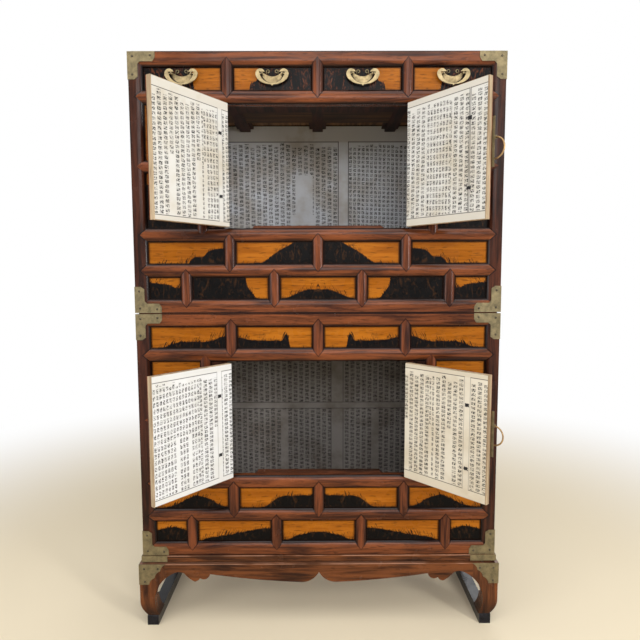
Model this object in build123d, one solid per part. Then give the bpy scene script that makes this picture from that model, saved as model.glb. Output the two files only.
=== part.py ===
from build123d import *
import math
import os

# A two-tier clothes chest: two framed boxes stacked on a low cusped stand with sledge runners.
# Each tier has a pair of doors between rows of small framed panels, and the upper tier has a
# row of four drawers. Millimetres, +Z up, +X to the right, -Y to the front. The origin is the
# middle of the footprint, on the floor.

# ---- overall sizes
BODY_W = 880.0  # width of a tier over its posts
BODY_D = 350.0  # depth of a tier, crown of the front rails to the back rails
STAND_H = 181.0  # floor to the top of the stand
ROW_H = 53.0  # clear height of a row of small panels or drawers
DOORWAY_H = 288.0  # clear height of the doorway

# ---- front frame
STILE_W = 32.0  # width of a corner post
RAIL_D = 26.0  # depth of a front rail
MUNTIN_D = 22.0  # depth of a muntin
POST_D = 30.0  # depth of a corner post
BEAD_W = 15.0  # rounded part of a front member, from its edge to its crown
RAIL_FLAT = 2.0  # flat of a front rail between its two beads
MUNTIN_FLAT = 0.0  # flat of an upright between two panels
BEAD_RISE = 7.0  # how far the crown stands in front of that edge
MUNTIN_PROUD = 2.0  # crowns of muntins and cross rails in front of the rails' crowns
BEAK = 18.0  # how far their pointed ends run over a neighbour
PANEL_SET = 11.0  # panel faces lie this far behind the crowns
PANEL_T = 7.0  # thickness of a small panel
GROOVE = 4.0  # how far a panel sits in the members round it
PANEL_EASE = 0.2  # play of a panel in its grooves

# ---- carcass
SIDE_RAIL_T = 22.0  # thickness of the side and back rails
SIDE_SET = 6.0  # side and back panels lie this far inside the rails
SIDE_PANEL_T = 8.0
BOARD_T = 12.0  # thickness of the floor and top boards
FLOOR_DROP = 2.0  # floor board below the top of the bottom rails
TOP_PROUD = 3.0  # top board above the top rails; the next tier stands on it
TOP_INSET = 6.0  # and its edge inside them

# ---- doors
OPEN_HALF = 224.0  # half the width of the doorway
HINGE_BOARD_W = 36.0
HINGE_BOARD_T = 18.0
FACE_SET = 4.0  # door and hinge board faces behind the crowns
DOOR_T = 13.0
DOOR_PANEL_SET = 8.5  # face of a door's panel behind the face of the door
DOOR_GAP = 2.0  # between the doors, and between a door and its hinge board
DOOR_EASE = 1.75  # above and below a door
DOOR_FRAME_W = 34.0
DOOR_LAP = 6.0  # how far a door panel sits in the back of its frame
STOP_HALF = 172.0  # half the length of the door stop
STOP_T = 7.0
STOP_UP = 7.0  # stop above the sill rail
STOP_DOWN = 12.0  # stop below the top of the sill rail
STOP_PLAY = 1.0  # between a shut door and its stop
OPEN_ANGLES = {
    "upper_left": 123.4,
    "upper_right": 126.8,
    "lower_left": 130.0,
    "lower_right": 132.7,
}  # degrees each door stands open from closed

# ---- hinges
LEAF_H = 44.0
LEAF_W = 24.0
LEAF_T = 1.5
BARREL_R = 3.2
AXIS_OUT = 3.5  # hinge axis in front of the door face
PIN_R = 1.5
PIN_HEAD_R = 2.6
PIN_HEAD_T = 1.5
PIN_PLAY = 0.06  # running clearance of a hinge pin
KNUCKLE_GAP = 0.3
LEAF_BACK = 3.8  # edge of a leaf from the axis
HINGE_IN = 48.0  # hinge centre from the end of the door

# ---- lock plates and rings
PLATE_T = 1.4
PLATE_W = 40.0
PLATE_H = 101.0
PLATE_UP = 13.0  # middle of a plate above the middle of its door
PLATE_LIP = 6.0  # right plate past its door's edge, over the left door
LIP_EASE = 0.4  # lip above the left door's face
RING_R = 21.5  # centre line of a pull ring
RING_WIRE_R = 1.75
RING_SIDES = 8  # flats round the wire of a ring
RING_UP = {"upper": 23.4, "lower": 29.4}  # ring eye above the middle of the door
RING_PAST = 1.5  # ring eye past the door's edge, on the lip
EYE_OUT = 8.0  # ring eye in front of the plate
EYE_R = 4.2
EYE_HOLE_R = 2.35
EYE_T = 3.5
EYE_STEM_R = 1.6
EYE_STEM_BACK = 0.5  # stem starts this far behind the eye's hole

# ---- drawers
DRAWER_EASE = 0.9  # round a drawer front
DRAWER_LIFT = 0.6  # drawer above its runners
DRAWER_FRONT_T = 16.0
DRAWER_SIDE_T = 8.0
DRAWER_BOTTOM_T = 5.0
DRAWER_BACK_GAP = 16.0  # drawer to the back rails
DRAWER_TOP_GAP = 8.4  # drawer side below the top of its opening
SHELF_T = 14.0  # front board and runners under the drawers
SHELF_D = 110.0  # depth of the front board
RUNNER_W = 30.0
RUNNER_TOP_W = 48.0
RUNNER_TOP_T = 6.0
DUST_T = 4.0
DUST_D = 110.0  # depth of the dust panels behind the front board
GUIDE_H = 18.0

# ---- drawer handles (heights are from the middle of the drawer)
BAIL_HALF = 38.5  # half the width of the bail
BAIL_DROP = 15.5  # its bottom edge under that middle
BAIL_T = 3.5
BAIL_TIP_R = 2.4  # small bulge under the middle
GAP_HALF = 29.0  # half the width of the crescent gap inside the bail, at the lobes
GAP_DROP = 13.0
CURL_Z = 13.2  # underside of the curled ends
LOBE_R = 11.2  # rounded upper ends of the bail
LOBE_Z = 8.8
PIVOT_X = 23.5
PIVOT_Z = 9.5
PIVOT_OUT = 9.5  # bail pivot in front of the drawer
CROSS_PIN_R = 1.3
CROSS_PIN_SEAT = 1.5  # how far a cross pin runs into the bail
CROSS_PIN_PAST = 2.0  # and past its eye
BOLT_EYE_R = 3.0
BOLT_EYE_T = 3.0
BOLT_R = 1.2
BOLT_BACK = 0.8  # stem starts this far behind the bolt's hole
BACKPLATE_T = 2.0
BACKPLATE_R = 26.4
BACKPLATE_UP = 14.6  # centre of the plate's outer curve
BACKPLATE_HOLLOW_R = 27.4
BACKPLATE_HOLLOW_UP = 33.0
BACKPLATE_TOP = 13.0  # top of its two horns
BACKPLATE_BEVEL = 0.9

# ---- stand (drops are below the underside of its top frame)
TOP_BAND = 15.5  # upper band of the stand's top frame
LOW_BAND = 3.5  # recessed band under it
BAND_IN = 4.0
TOP_OVER = 3.0  # top frame past the tier
TOP_FRAME_W = 60.0
STAND_OVER = 9.0  # legs and aprons past the tier
APRON_T = 20.0
LEG_TOP = 63.0  # width of a leg where the apron meets it
FOOT_BLOCK_Z = 68.0  # a leg is solid up to here, and two boards in an L above
RUNNER_BAR_W = 28.0
RUNNER_BAR_H = 26.5
RUNNER_BAR_IN = 15.5  # runner inside the outer face of the leg
RUNNER_CHAMFER = 3.0
FOOT_IN = 46.5  # inner edge of a leg at its foot, from the leg's outer face
FOOT_OUT = 19.0  # outer edge of a leg at its foot, from the same face
TOE_SET = 4.0  # front of the foot behind the leg's front; the runners end there too
NECK_IN = 36.5  # inner edge where a leg is narrowest
NECK_Z = 72.0
SHIN_IN = 38.5  # inner edge half way down the shin
SHIN_Z = 48.0
SHIN_SHARE = 0.25  # how much of its turn to the foot an outer edge has made half way down
SHIN_OUT_Z = 45.0
ARCH_IN = 54.0  # half way round the arch beside a leg
ARCH_DROP = 48.0
CROWN_IN = 94.5  # top of that arch
ARCH_FALL_IN = 104.5  # between its top and its end
ARCH_FALL = 1.0
ARCH_END_IN = 112.0
ARCH_TOP_DROP = 20.5
ARCH_END_DROP = 25.0
PEAK_DROP = 22.0  # notch in the middle of the apron
DIP_X = 45.6  # low points either side of it
DIP_DROP = 48.0
DIP_BOW_X = 17.6  # rise from a low point to the notch
DIP_BOW = 7.0
SHOULDER_IN = 176.0  # shoulder between the cusps and the low middle
SHOULDER_DROP = 26.5
SHOULDER_SAG = 3.0  # sweep from the shoulder to a low point, below its chord
CUSP_IN = 138.0  # hanging cusp beside the arch
CUSP_DROP = 45.8
CUSP_BOW_IN = 125.0  # from the arch down to the cusp
CUSP_BOW = 8.0
NOTCH_IN = 151.0  # notch between the cusp and the small lobe beside it
NOTCH_DROP = 37.0
NOTCH_BOW_IN = 146.5  # from the cusp up to the notch
NOTCH_BOW = 3.6
SMALL_LOBE_IN = 160.0
SMALL_LOBE_DROP = 40.0

# ---- brass corners
BRASS_T = 1.2
BRACKET = 63.0
ARM_W = 22.5
BRACKET_NICK = 5.6  # slanted corner between the arms
ARM_END = 6.0  # slanted inner corner of an arm's end, along the arm
ARM_END_W = 8.6  # and across it
STRAP_W = 63.0
LEG_BRASS_H = 52.5
LEG_BRASS_W = 66.0  # width of a leg plate along its top
LEG_BRASS_FOOT_W = 23.5  # and along its bottom
LEG_SCALLOPS = 3  # hollows along its slanting edge
LEG_SCALLOP_DEPTH = 3.0

# ---- worked out from the above
RAIL_H = 2 * BEAD_W + RAIL_FLAT
MUNTIN_W = 2 * BEAD_W + MUNTIN_FLAT
FRONT = -BODY_D / 2
BACK = BODY_D / 2
HALF = BODY_W / 2
INNER = HALF - STILE_W
PITCH = (2 * INNER + MUNTIN_W) / 4
ROWS = (ROW_H, ROW_H, DOORWAY_H, ROW_H)
TIER_H = 5 * RAIL_H + sum(ROWS)
DRAWER_SIDE_H = ROW_H - DRAWER_LIFT - DRAWER_TOP_GAP
BASES = {"lower": STAND_H, "upper": STAND_H + TIER_H + TOP_PROUD}
STRAIGHT_ROW = (-PITCH, 0.0, PITCH)
STAGGERED_ROW = (-1.5 * PITCH, -PITCH / 2, PITCH / 2, 1.5 * PITCH)
HINGE_X = OPEN_HALF - DOOR_GAP / 2
FACE = FRONT + FACE_SET
HINGE_Y = FACE - AXIS_OUT
LEG_X = HALF + STAND_OVER
LEG_Y = BODY_D / 2 + STAND_OVER
STAND_TOP_Z = STAND_H - TOP_BAND - LOW_BAND
ARCH_Z = STAND_TOP_Z - ARCH_DROP
ARCH_TOP_Z = STAND_TOP_Z - ARCH_TOP_DROP
ARCH_END_Z = STAND_TOP_Z - ARCH_END_DROP
PEAK_Z = STAND_TOP_Z - PEAK_DROP
DIP_Z = STAND_TOP_Z - DIP_DROP
SHOULDER_Z = STAND_TOP_Z - SHOULDER_DROP
CUSP_Z = STAND_TOP_Z - CUSP_DROP
NOTCH_Z = STAND_TOP_Z - NOTCH_DROP
SMALL_LOBE_Z = STAND_TOP_Z - SMALL_LOBE_DROP
LOBE_X = BAIL_HALF - LOBE_R

OVERRUN = 1.0  # how far a cutter runs past the face it cuts

NODES = {}


# ---- helpers
def block(x0, x1, y0, y1, z0, z1):
    """A board between two corners."""
    middle = Pos((x0 + x1) / 2, (y0 + y1) / 2, (z0 + z1) / 2)
    return middle * Box(abs(x1 - x0), abs(y1 - y0), abs(z1 - z0))


def slab_xy(face, z0, z1):
    """A face drawn in X and Y, made solid between two heights."""
    return Pos(0, 0, z0) * extrude(face, z1 - z0)


def slab_xz(face, y0, y1):
    """A face drawn in X and Z, made solid between two depths."""
    return Pos(0, y1, 0) * extrude(Plane.XZ * face, y1 - y0)


def slab_yz(face, x0, x1):
    """A face drawn in Y and Z, made solid between two widths."""
    return Pos(x0, 0, 0) * extrude(Plane.YZ * face, x1 - x0)


def rod_x(radius, x0, x1, y, z):
    """A round bar along X."""
    return Pos((x0 + x1) / 2, y, z) * Rot(0, 90, 0) * Cylinder(radius, abs(x1 - x0))


def rod_y(radius, y0, y1, x, z):
    """A round bar along Y."""
    return Pos(x, (y0 + y1) / 2, z) * Rot(90, 0, 0) * Cylinder(radius, abs(y1 - y0))


def rod_z(radius, z0, z1, x, y):
    """A round bar along Z."""
    return Pos(x, y, (z0 + z1) / 2) * Cylinder(radius, abs(z1 - z0))


def outline(points):
    """A closed face through points, without those that repeat the one before."""
    kept = [p for i, p in enumerate(points) if math.dist(p, points[i - 1]) > 0.001]
    return make_face(Polyline(*kept, close=True))


def meets(a, b):
    """Whether two solids' boxes share some room."""
    p, q = a.bounding_box(), b.bounding_box()
    lows = (max(p.min.X, q.min.X), max(p.min.Y, q.min.Y), max(p.min.Z, q.min.Z))
    highs = (min(p.max.X, q.max.X), min(p.max.Y, q.max.Y), min(p.max.Z, q.max.Z))
    return all(high - low > 0.001 for low, high in zip(lows, highs))


def cut(solid, tools):
    """The solid without each tool that reaches it."""
    for tool in tools:
        if meets(solid, tool):
            solid = solid - tool
    return solid


def flipped(solid):
    """The solid's mirror image on the other side of the middle."""
    return mirror(solid, about=Plane.YZ)


def keep(name, solids):
    """Files separate solids under a node's name."""
    NODES.setdefault(name, []).extend(solids)


# ---- the beaded front members
def bead_section(width, depth, low, high, proud=0.0):
    """Section of a front member: rounded towards each beaded edge, crown at y = -proud."""
    crown_y = -proud
    edges = []
    if low:
        edges.append(TangentArc((BEAD_W, crown_y), (0, BEAD_RISE), tangent=(-1, 0)))
    if high:
        edges.append(TangentArc((width - BEAD_W, crown_y), (width, BEAD_RISE), tangent=(1, 0)))
    crown = (BEAD_W if low else 0, width - (BEAD_W if high else 0))
    if crown[1] - crown[0] > 0.001:
        edges.append(Line((crown[0], crown_y), (crown[1], crown_y)))
    start = (0, BEAD_RISE if low else crown_y)
    end = (width, BEAD_RISE if high else crown_y)
    edges.append(Polyline(start, (0, depth), (width, depth), end))
    return make_face(edges)


def mitred_outline(a0, a1, b0, b1, reach, low, high):
    """Outline of a member from a0 to a1 along and b0 to b1 across. At both ends each beaded
    edge turns out slantwise and ends the member this far past it, like a swallow's beak."""
    low_in, high_in = (reach if low else 0), (reach if high else 0)
    low_crown, high_crown = b0 + (BEAD_W if low else 0), b1 - (BEAD_W if high else 0)
    tip0, tip1 = a0 - reach, a1 + reach
    left = [(tip0 + low_in, b0), (tip0, low_crown), (tip0, high_crown), (tip0 + high_in, b1)]
    right = [(tip1 - high_in, b1), (tip1, high_crown), (tip1, low_crown), (tip1 - low_in, b0)]
    return left + right


def level_member(x0, x1, z0, z1, depth, low=True, high=True, reach=BEAD_W, proud=0.0):
    """A rail between x0 and x1, and the prism that notches its neighbours."""
    points = mitred_outline(x0, x1, z0, z1, reach, low, high)
    beak = slab_xz(outline(points), FRONT - proud - OVERRUN, FRONT + PANEL_SET)
    section = bead_section(z1 - z0, PANEL_SET, high, low, proud)
    bar = Rot(0, 90, 0) * slab_xy(section, 0, x1 - x0 + 2 * reach)
    face = (Pos(x0 - reach, FRONT, z1) * bar) & beak
    return face + block(x0, x1, FRONT + PANEL_SET, FRONT + depth, z0, z1), beak


def upright_member(x0, x1, z0, z1, depth):
    """A muntin between z0 and z1, and the prism that notches its neighbours."""
    points = [(b, a) for a, b in mitred_outline(z0, z1, x0, x1, BEAK, True, True)]
    beak = slab_xz(outline(points), FRONT - MUNTIN_PROUD - OVERRUN, FRONT + PANEL_SET)
    section = bead_section(x1 - x0, PANEL_SET, True, True, MUNTIN_PROUD)
    bar = Pos(x0, FRONT, 0) * slab_xy(section, z0 - BEAK, z1 + BEAK)
    return (bar & beak) + block(x0, x1, FRONT + PANEL_SET, FRONT + depth, z0, z1), beak


def post(side, base):
    """A front corner post: flat outside, beaded on its inner edge."""
    section = bead_section(STILE_W, POST_D, False, True)
    solid = Pos(-HALF, FRONT, 0) * slab_xy(section, base, base + TIER_H)
    return flipped(solid) if side > 0 else solid


def panel_and_slot(x0, x1, z0, z1):
    """A small panel that fills an opening and sits in grooves, and the cut for those."""
    seat = GROOVE - PANEL_EASE
    y0, y1 = FRONT + PANEL_SET, FRONT + PANEL_SET + PANEL_T
    board = block(x0 - seat, x1 + seat, y0, y1, z0 - seat, z1 + seat)
    slot = block(x0 - GROOVE, x1 + GROOVE, y0, y1 + PANEL_EASE, z0 - GROOVE, z1 + GROOVE)
    return board, slot


def rail_levels(base):
    """Height of the underside of each front rail of a tier."""
    levels = [base]
    for gap in ROWS:
        levels.append(levels[-1] + RAIL_H + gap)
    return levels


def row_openings(centres):
    """The left and right edge of each opening in a row with muntins at those centres."""
    edges = [-INNER]
    for x in centres:
        edges += [x - MUNTIN_W / 2, x + MUNTIN_W / 2]
    edges.append(INNER)
    return list(zip(edges[::2], edges[1::2]))


def front_frame(tier, base):
    """Posts, rails, muntins and small panels of a tier's front. Returns the panel slots."""
    levels = rail_levels(base)
    rails, rail_beaks = [], []
    for i, z in enumerate(levels):
        solid, beak = level_member(-INNER, INNER, z, z + RAIL_H, RAIL_D, i > 0, i < 4)
        rails.append(solid)
        rail_beaks.append(beak)

    muntins, beaks, openings = [], [], []
    for row, centres in ((0, STAGGERED_ROW), (1, STRAIGHT_ROW), (3, STRAIGHT_ROW)):
        z0, z1 = levels[row] + RAIL_H, levels[row + 1]
        for x in centres:
            solid, beak = upright_member(x - MUNTIN_W / 2, x + MUNTIN_W / 2, z0, z1, MUNTIN_D)
            muntins.append(solid)
            beaks.append(beak)
        if row < 3 or tier == "lower":
            openings += [(x0, x1, z0, z1) for x0, x1 in row_openings(centres)]

    z0, z1 = levels[2] + RAIL_H, levels[3]
    middle = (z0 + z1) / 2
    cross_beaks = []
    outer = OPEN_HALF + HINGE_BOARD_W + MUNTIN_W
    for side in (-1, 1):
        inner_x, outer_x = sorted((side * (outer - MUNTIN_W), side * outer))
        solid, beak = upright_member(inner_x, outer_x, z0, z1, MUNTIN_D)
        low_x, high_x = sorted((side * outer, side * INNER))
        half = MUNTIN_W / 2
        cross, cross_beak = level_member(
            low_x, high_x, middle - half, middle + half, MUNTIN_D, reach=BEAK, proud=MUNTIN_PROUD
        )
        muntins += [solid - cross_beak, cross]
        beaks.append(beak)
        cross_beaks.append(cross_beak)
        openings += [(low_x, high_x, z0, middle - half), (low_x, high_x, middle + half, z1)]

    panels, slots = zip(*[panel_and_slot(*opening) for opening in openings])
    keep(tier + "_front_panels", panels)
    keep(tier + "_front_rails", [cut(solid, beaks + list(slots)) for solid in rails])
    keep(tier + "_front_muntins", [cut(solid, slots) for solid in muntins])
    posts = [cut(post(side, base), rail_beaks + cross_beaks + list(slots)) for side in (-1, 1)]
    return posts


# ---- the box behind the front
def carcass(tier, base, front_posts):
    """Rear posts, side and back rails and panels, floor and top boards of a tier."""
    top = base + TIER_H
    sill = rail_levels(base)[2]
    y0, y1 = FRONT + POST_D, BACK - POST_D
    rear_posts = [
        block(side * INNER, side * HALF, y1, BACK, base, top) for side in (-1, 1)
    ]
    bands = ((base, base + RAIL_H), (sill, sill + RAIL_H), (top - RAIL_H, top))
    rails, panels, slots = [], [], []
    for side in (-1, 1):
        for z0, z1 in bands:
            rails.append(block(side * (HALF - SIDE_RAIL_T), side * HALF, y0, y1, z0, z1))
        x0, x1 = side * (HALF - SIDE_SET - SIDE_PANEL_T), side * (HALF - SIDE_SET)
        for low, high in zip(bands, bands[1:]):
            seat = GROOVE - PANEL_EASE
            panels.append(
                block(x0, x1, y0 - seat, y1 + seat, low[1] - seat, high[0] + seat)
            )
            slots.append(
                block(x0, x1, y0 - GROOVE, y1 + GROOVE, low[1] - GROOVE, high[0] + GROOVE)
            )
    keep(tier + "_side_panels", panels)

    for z0, z1 in (bands[0], bands[-1]):
        rails.append(block(-INNER, INNER, BACK - SIDE_RAIL_T, BACK, z0, z1))
    by0, by1 = BACK - SIDE_SET - SIDE_PANEL_T, BACK - SIDE_SET
    z0, z1 = bands[0][1], bands[-1][0]
    seat = GROOVE - PANEL_EASE
    keep("back_panels", [block(-INNER - seat, INNER + seat, by0, by1, z0 - seat, z1 + seat)])
    slots.append(block(-INNER - GROOVE, INNER + GROOVE, by0, by1, z0 - GROOVE, z1 + GROOVE))

    posts = front_posts + rear_posts
    keep(tier + "_posts", [cut(solid, slots) for solid in posts])
    keep(tier + "_side_and_back_rails", [cut(solid, slots) for solid in rails])

    inside = (SIDE_RAIL_T - HALF, HALF - SIDE_RAIL_T, FRONT + RAIL_D, BACK - SIDE_RAIL_T)
    corners = [
        block(side * INNER, side * HALF, *depths, base, top + TOP_PROUD)
        for side in (-1, 1)
        for depths in ((FRONT, y0), (y1, BACK))
    ]
    floor_z = base + RAIL_H - FLOOR_DROP
    keep("floor_boards", [cut(block(*inside, floor_z - BOARD_T, floor_z), corners)])
    lid = block(
        TOP_INSET - HALF, HALF - TOP_INSET, FRONT + TOP_INSET, BACK - TOP_INSET, top, top + TOP_PROUD
    )
    seated = cut(block(*inside, top + TOP_PROUD - BOARD_T, top), corners)
    keep("top_boards", [lid + seated])


def doorway(base):
    """Hinge boards beside a doorway, and the stop behind the doors."""
    levels = rail_levels(base)
    z0, z1 = levels[2] + RAIL_H, levels[3]
    for side in (-1, 1):
        x0, x1 = side * OPEN_HALF, side * (OPEN_HALF + HINGE_BOARD_W)
        keep("hinge_boards", [block(x0, x1, FACE, FACE + HINGE_BOARD_T, z0, z1)])
    low, high = z0 - STOP_DOWN, z0 + STOP_UP
    slope = STOP_UP + STOP_DOWN
    strip = outline(
        [(-STOP_HALF, low), (STOP_HALF, low), (STOP_HALF - slope, high), (slope - STOP_HALF, high)]
    )
    rail_back = FRONT + RAIL_D
    tongue = slab_xz(strip, FACE + DOOR_T + STOP_PLAY, rail_back)
    tongue = tongue & block(-STOP_HALF, STOP_HALF, FACE, rail_back, z0, high)
    keep("door_stops", [slab_xz(strip, rail_back, rail_back + STOP_T) + tongue])


# ---- doors, built closed on the left and turned to where they stand open
def door_frame_and_panel(z0, z1):
    """The four mitred members of a left door and the panel let into their back."""
    x0, x1 = DOOR_GAP - OPEN_HALF, -DOOR_GAP / 2
    width = DOOR_FRAME_W
    back = FACE + DOOR_T
    across = bead_section(width, DOOR_T, False, True)
    height, length = z1 - z0, x1 - x0
    stile = Pos(x0, FACE, z0) * slab_xy(across, 0, height)
    far_stile = Pos(x1, FACE, z0) * mirror(slab_xy(across, 0, height), about=Plane.YZ)
    head = Pos(x0, FACE, z1) * Rot(0, 90, 0) * slab_xy(across, 0, length)
    sill = mirror(Pos(0, 0, -z0 - z1) * head, about=Plane.XY)
    corners = ((x0, z0), (x0, z1), (x1, z1), (x1, z0))
    inner = ((x0 + width, z0 + width), (x0 + width, z1 - width))
    inner += ((x1 - width, z1 - width), (x1 - width, z0 + width))
    opening = (x0 + width - DOOR_LAP, x1 - width + DOOR_LAP)
    levels = (z0 + width - DOOR_LAP, z1 - width + DOOR_LAP)
    panel = block(*opening, FACE + DOOR_PANEL_SET, back, *levels)
    members = []
    for i, bar in enumerate((stile, head, far_stile, sill)):
        j = (i + 1) % 4
        wedge = outline([corners[i], corners[j], inner[j], inner[i]])
        members.append((bar & slab_xz(wedge, FACE - OVERRUN, back + OVERRUN)) - panel)
    return members, panel


def knuckle(z0, z1, hole_r):
    """A length of hinge barrel on a left door's axis."""
    solid = rod_z(BARREL_R, z0, z1, -HINGE_X, HINGE_Y)
    return solid, rod_z(hole_r, z0 - OVERRUN, z1 + OVERRUN, -HINGE_X, HINGE_Y)


def hinge(z):
    """A left door's butt hinge at height z: moving leaf, fixed leaf and pin."""
    third = LEAF_H / 3
    y0, y1 = FACE - LEAF_T, FACE
    low, high = z - LEAF_H / 2, z + LEAF_H / 2
    spans = {
        "moving": ((z - third / 2 + KNUCKLE_GAP / 2, z + third / 2 - KNUCKLE_GAP / 2),),
        "fixed": ((low, z - third / 2 - KNUCKLE_GAP / 2), (z + third / 2 + KNUCKLE_GAP / 2, high)),
    }
    leaves = {}
    for name, towards in (("moving", 1), ("fixed", -1)):
        hole_r = PIN_R + (PIN_PLAY if name == "moving" else 0)
        near, far = -HINGE_X + towards * LEAF_BACK, -HINGE_X + towards * LEAF_W
        solid = block(near, far, y0, y1, low, high)
        for z0, z1 in spans[name]:
            barrel, hole = knuckle(z0, z1, hole_r)
            tongue = block(-HINGE_X + towards * DOOR_GAP / 2, near, y0, y1, z0, z1)
            solid = solid + tongue + barrel - hole
        leaves[name] = solid
    pin = rod_z(PIN_R, low, high, -HINGE_X, HINGE_Y)
    for end, out in ((low, -1), (high, 1)):
        pin = pin + rod_z(PIN_HEAD_R, end, end + out * PIN_HEAD_T, -HINGE_X, HINGE_Y)
    return leaves["moving"], leaves["fixed"], pin


def lock_plate(middle, lip):
    """Half of a round-ended lock plate on a left door, with or without a lip past its edge."""
    edge = -DOOR_GAP / 2
    straight = edge if lip else edge - PLATE_LIP
    tall = PLATE_H / 2
    arc = ThreePointArc(
        (straight, middle - tall), (edge - PLATE_W, middle), (straight, middle + tall)
    )
    face = make_face([arc, Line((straight, middle + tall), (straight, middle - tall))])
    plate = slab_xz(face, FACE - PLATE_T, FACE)
    if lip:
        y1 = FACE - LIP_EASE
        plate = plate + block(edge, edge + PLATE_LIP, FACE - PLATE_T, y1, middle - tall, middle + tall)
    return plate


def ring_eye(z):
    """The eye that a pull ring hangs in, on a left door's plate."""
    x = -DOOR_GAP / 2 + RING_PAST
    y = FACE - PLATE_T - EYE_OUT
    stem = rod_y(EYE_STEM_R, y + EYE_HOLE_R + EYE_STEM_BACK, FACE - PLATE_T, x, z)
    disc = rod_x(EYE_R, x - EYE_T / 2, x + EYE_T / 2, y, z)
    hole = rod_x(EYE_HOLE_R, x - EYE_T, x + EYE_T, y, z)
    return stem + disc - hole


def pull_ring(z):
    """A plain ring hanging from the eye at height z."""
    x = -DOOR_GAP / 2 + RING_PAST
    y = FACE - PLATE_T - EYE_OUT
    wire =Pos(RING_R, 0) * RegularPolygon(RING_WIRE_R, RING_SIDES)
    ring = revolve(Plane.XZ * wire, Axis.Z)
    return Pos(x, y, z - RING_R) * Rot(90, 0, 0) * ring


def door(tier, side_name, base):
    """One door with its brass, standing open, and the fixed halves of its hinges."""
    levels = rail_levels(base)
    z0, z1 = levels[2] + RAIL_H + DOOR_EASE, levels[3] - DOOR_EASE
    middle = (z0 + z1) / 2
    right = side_name == "right"
    members, panel = door_frame_and_panel(z0, z1)
    parts = {"frame": members, "panel": [panel]}
    moving, fixed, pins = zip(*[hinge(z) for z in (z0 + HINGE_IN, z1 - HINGE_IN)])
    plate = lock_plate(middle + PLATE_UP, right)
    if right:
        ring_z = middle + RING_UP[tier]
        plate = plate + ring_eye(ring_z)
        parts["ring"] = [pull_ring(ring_z)]
    parts["brass"] = [*moving, plate]
    angle = OPEN_ANGLES[tier + "_" + side_name]
    axis = Axis((-HINGE_X, HINGE_Y, 0), (0, 0, 1))
    for part, solids in parts.items():
        turned = [solid.rotate(axis, -angle) for solid in solids]
        if right:
            turned = [flipped(solid) for solid in turned]
        keep(f"{tier}_{side_name}_door_{part}", turned)
    place = flipped if right else (lambda solid: solid)
    keep("fixed_hinge_leaves", [place(solid) for solid in fixed])
    keep("hinge_pins", [place(solid) for solid in pins])


# ---- drawers of the upper tier
def drawer_supports(base):
    """Front board, runners, guides and dust panels under the drawers."""
    shelf_top = rail_levels(base)[3] + RAIL_H
    low = shelf_top - SHELF_T
    y0 = FRONT + RAIL_D
    y1, y2 = y0 + SHELF_D, BACK - SIDE_RAIL_T
    wall = HALF - SIDE_RAIL_T
    board = block(-INNER, INNER, y0, y1, low, shelf_top)
    solids = [board]
    flange = shelf_top - RUNNER_TOP_T
    for x in STRAIGHT_ROW:
        stem = block(x - RUNNER_W / 2, x + RUNNER_W / 2, y1, y2, low, shelf_top)
        top = block(x - RUNNER_TOP_W / 2, x + RUNNER_TOP_W / 2, y1, y2, flange, shelf_top)
        solids.append(stem + top)
    ledge = INNER - (RUNNER_TOP_W - MUNTIN_W) / 2
    for side in (-1, 1):
        solids.append(block(side * ledge, side * wall, y1, BACK - POST_D, low, shelf_top))
    keep("drawer_runners", solids)
    guides = []
    for x in STRAIGHT_ROW:
        x0, x1 = x - MUNTIN_W / 2, x + MUNTIN_W / 2
        guides.append(block(x0, x1, FRONT + RAIL_D, y2, shelf_top, shelf_top + GUIDE_H))
    for side in (-1, 1):
        x0, x1 = side * INNER, side * wall
        guides.append(
            block(x0, x1, FRONT + POST_D, BACK - POST_D, shelf_top, shelf_top + GUIDE_H)
        )
    keep("drawer_guides", guides)
    stems = [-ledge, *[x + s * RUNNER_W / 2 for x in STRAIGHT_ROW for s in (-1, 1)], ledge]
    for x0, x1 in zip(stems[::2], stems[1::2]):
        keep("dust_panels", [block(x0, x1, y1, y1 + DUST_D, flange - DUST_T, flange)])


def drawer(number, x0, x1, base):
    """A drawer between x0 and x1, with its handle."""
    levels = rail_levels(base)
    shelf, ceiling = levels[3] + RAIL_H, levels[4]
    z0, z1 = shelf + DRAWER_LIFT, ceiling - DRAWER_EASE
    left, right = x0 + DRAWER_EASE, x1 - DRAWER_EASE
    face = FRONT + PANEL_SET
    inside = face + DRAWER_FRONT_T
    end = BACK - SIDE_RAIL_T - DRAWER_BACK_GAP
    name = f"drawer_{number}"
    keep(name + "_front", [block(left, right, face, inside, z0, z1)])
    side_z = z0 + DRAWER_SIDE_H
    wall_l, wall_r = left + DRAWER_SIDE_T, right - DRAWER_SIDE_T
    box_parts = [
        block(left, wall_l, inside, end, z0, side_z),
        block(wall_r, right, inside, end, z0, side_z),
        block(wall_l, wall_r, end - DRAWER_SIDE_T, end, z0, side_z),
        block(wall_l, wall_r, inside, end - DRAWER_SIDE_T, z0, z0 + DRAWER_BOTTOM_T),
    ]
    keep(name + "_box", box_parts)
    centre_x, centre_z = (x0 + x1) / 2, (shelf + ceiling) / 2
    keep(name + "_backplate", [Pos(centre_x, 0, centre_z) * s for s in backplate(face)])
    keep(name + "_bail", [Pos(centre_x, 0, centre_z) * bail(face)])


def below(z):
    """Everything in a handle's drawing under a height."""
    return Pos(0, z - BAIL_HALF) * Rectangle(4 * BAIL_HALF, 2 * BAIL_HALF)


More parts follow.
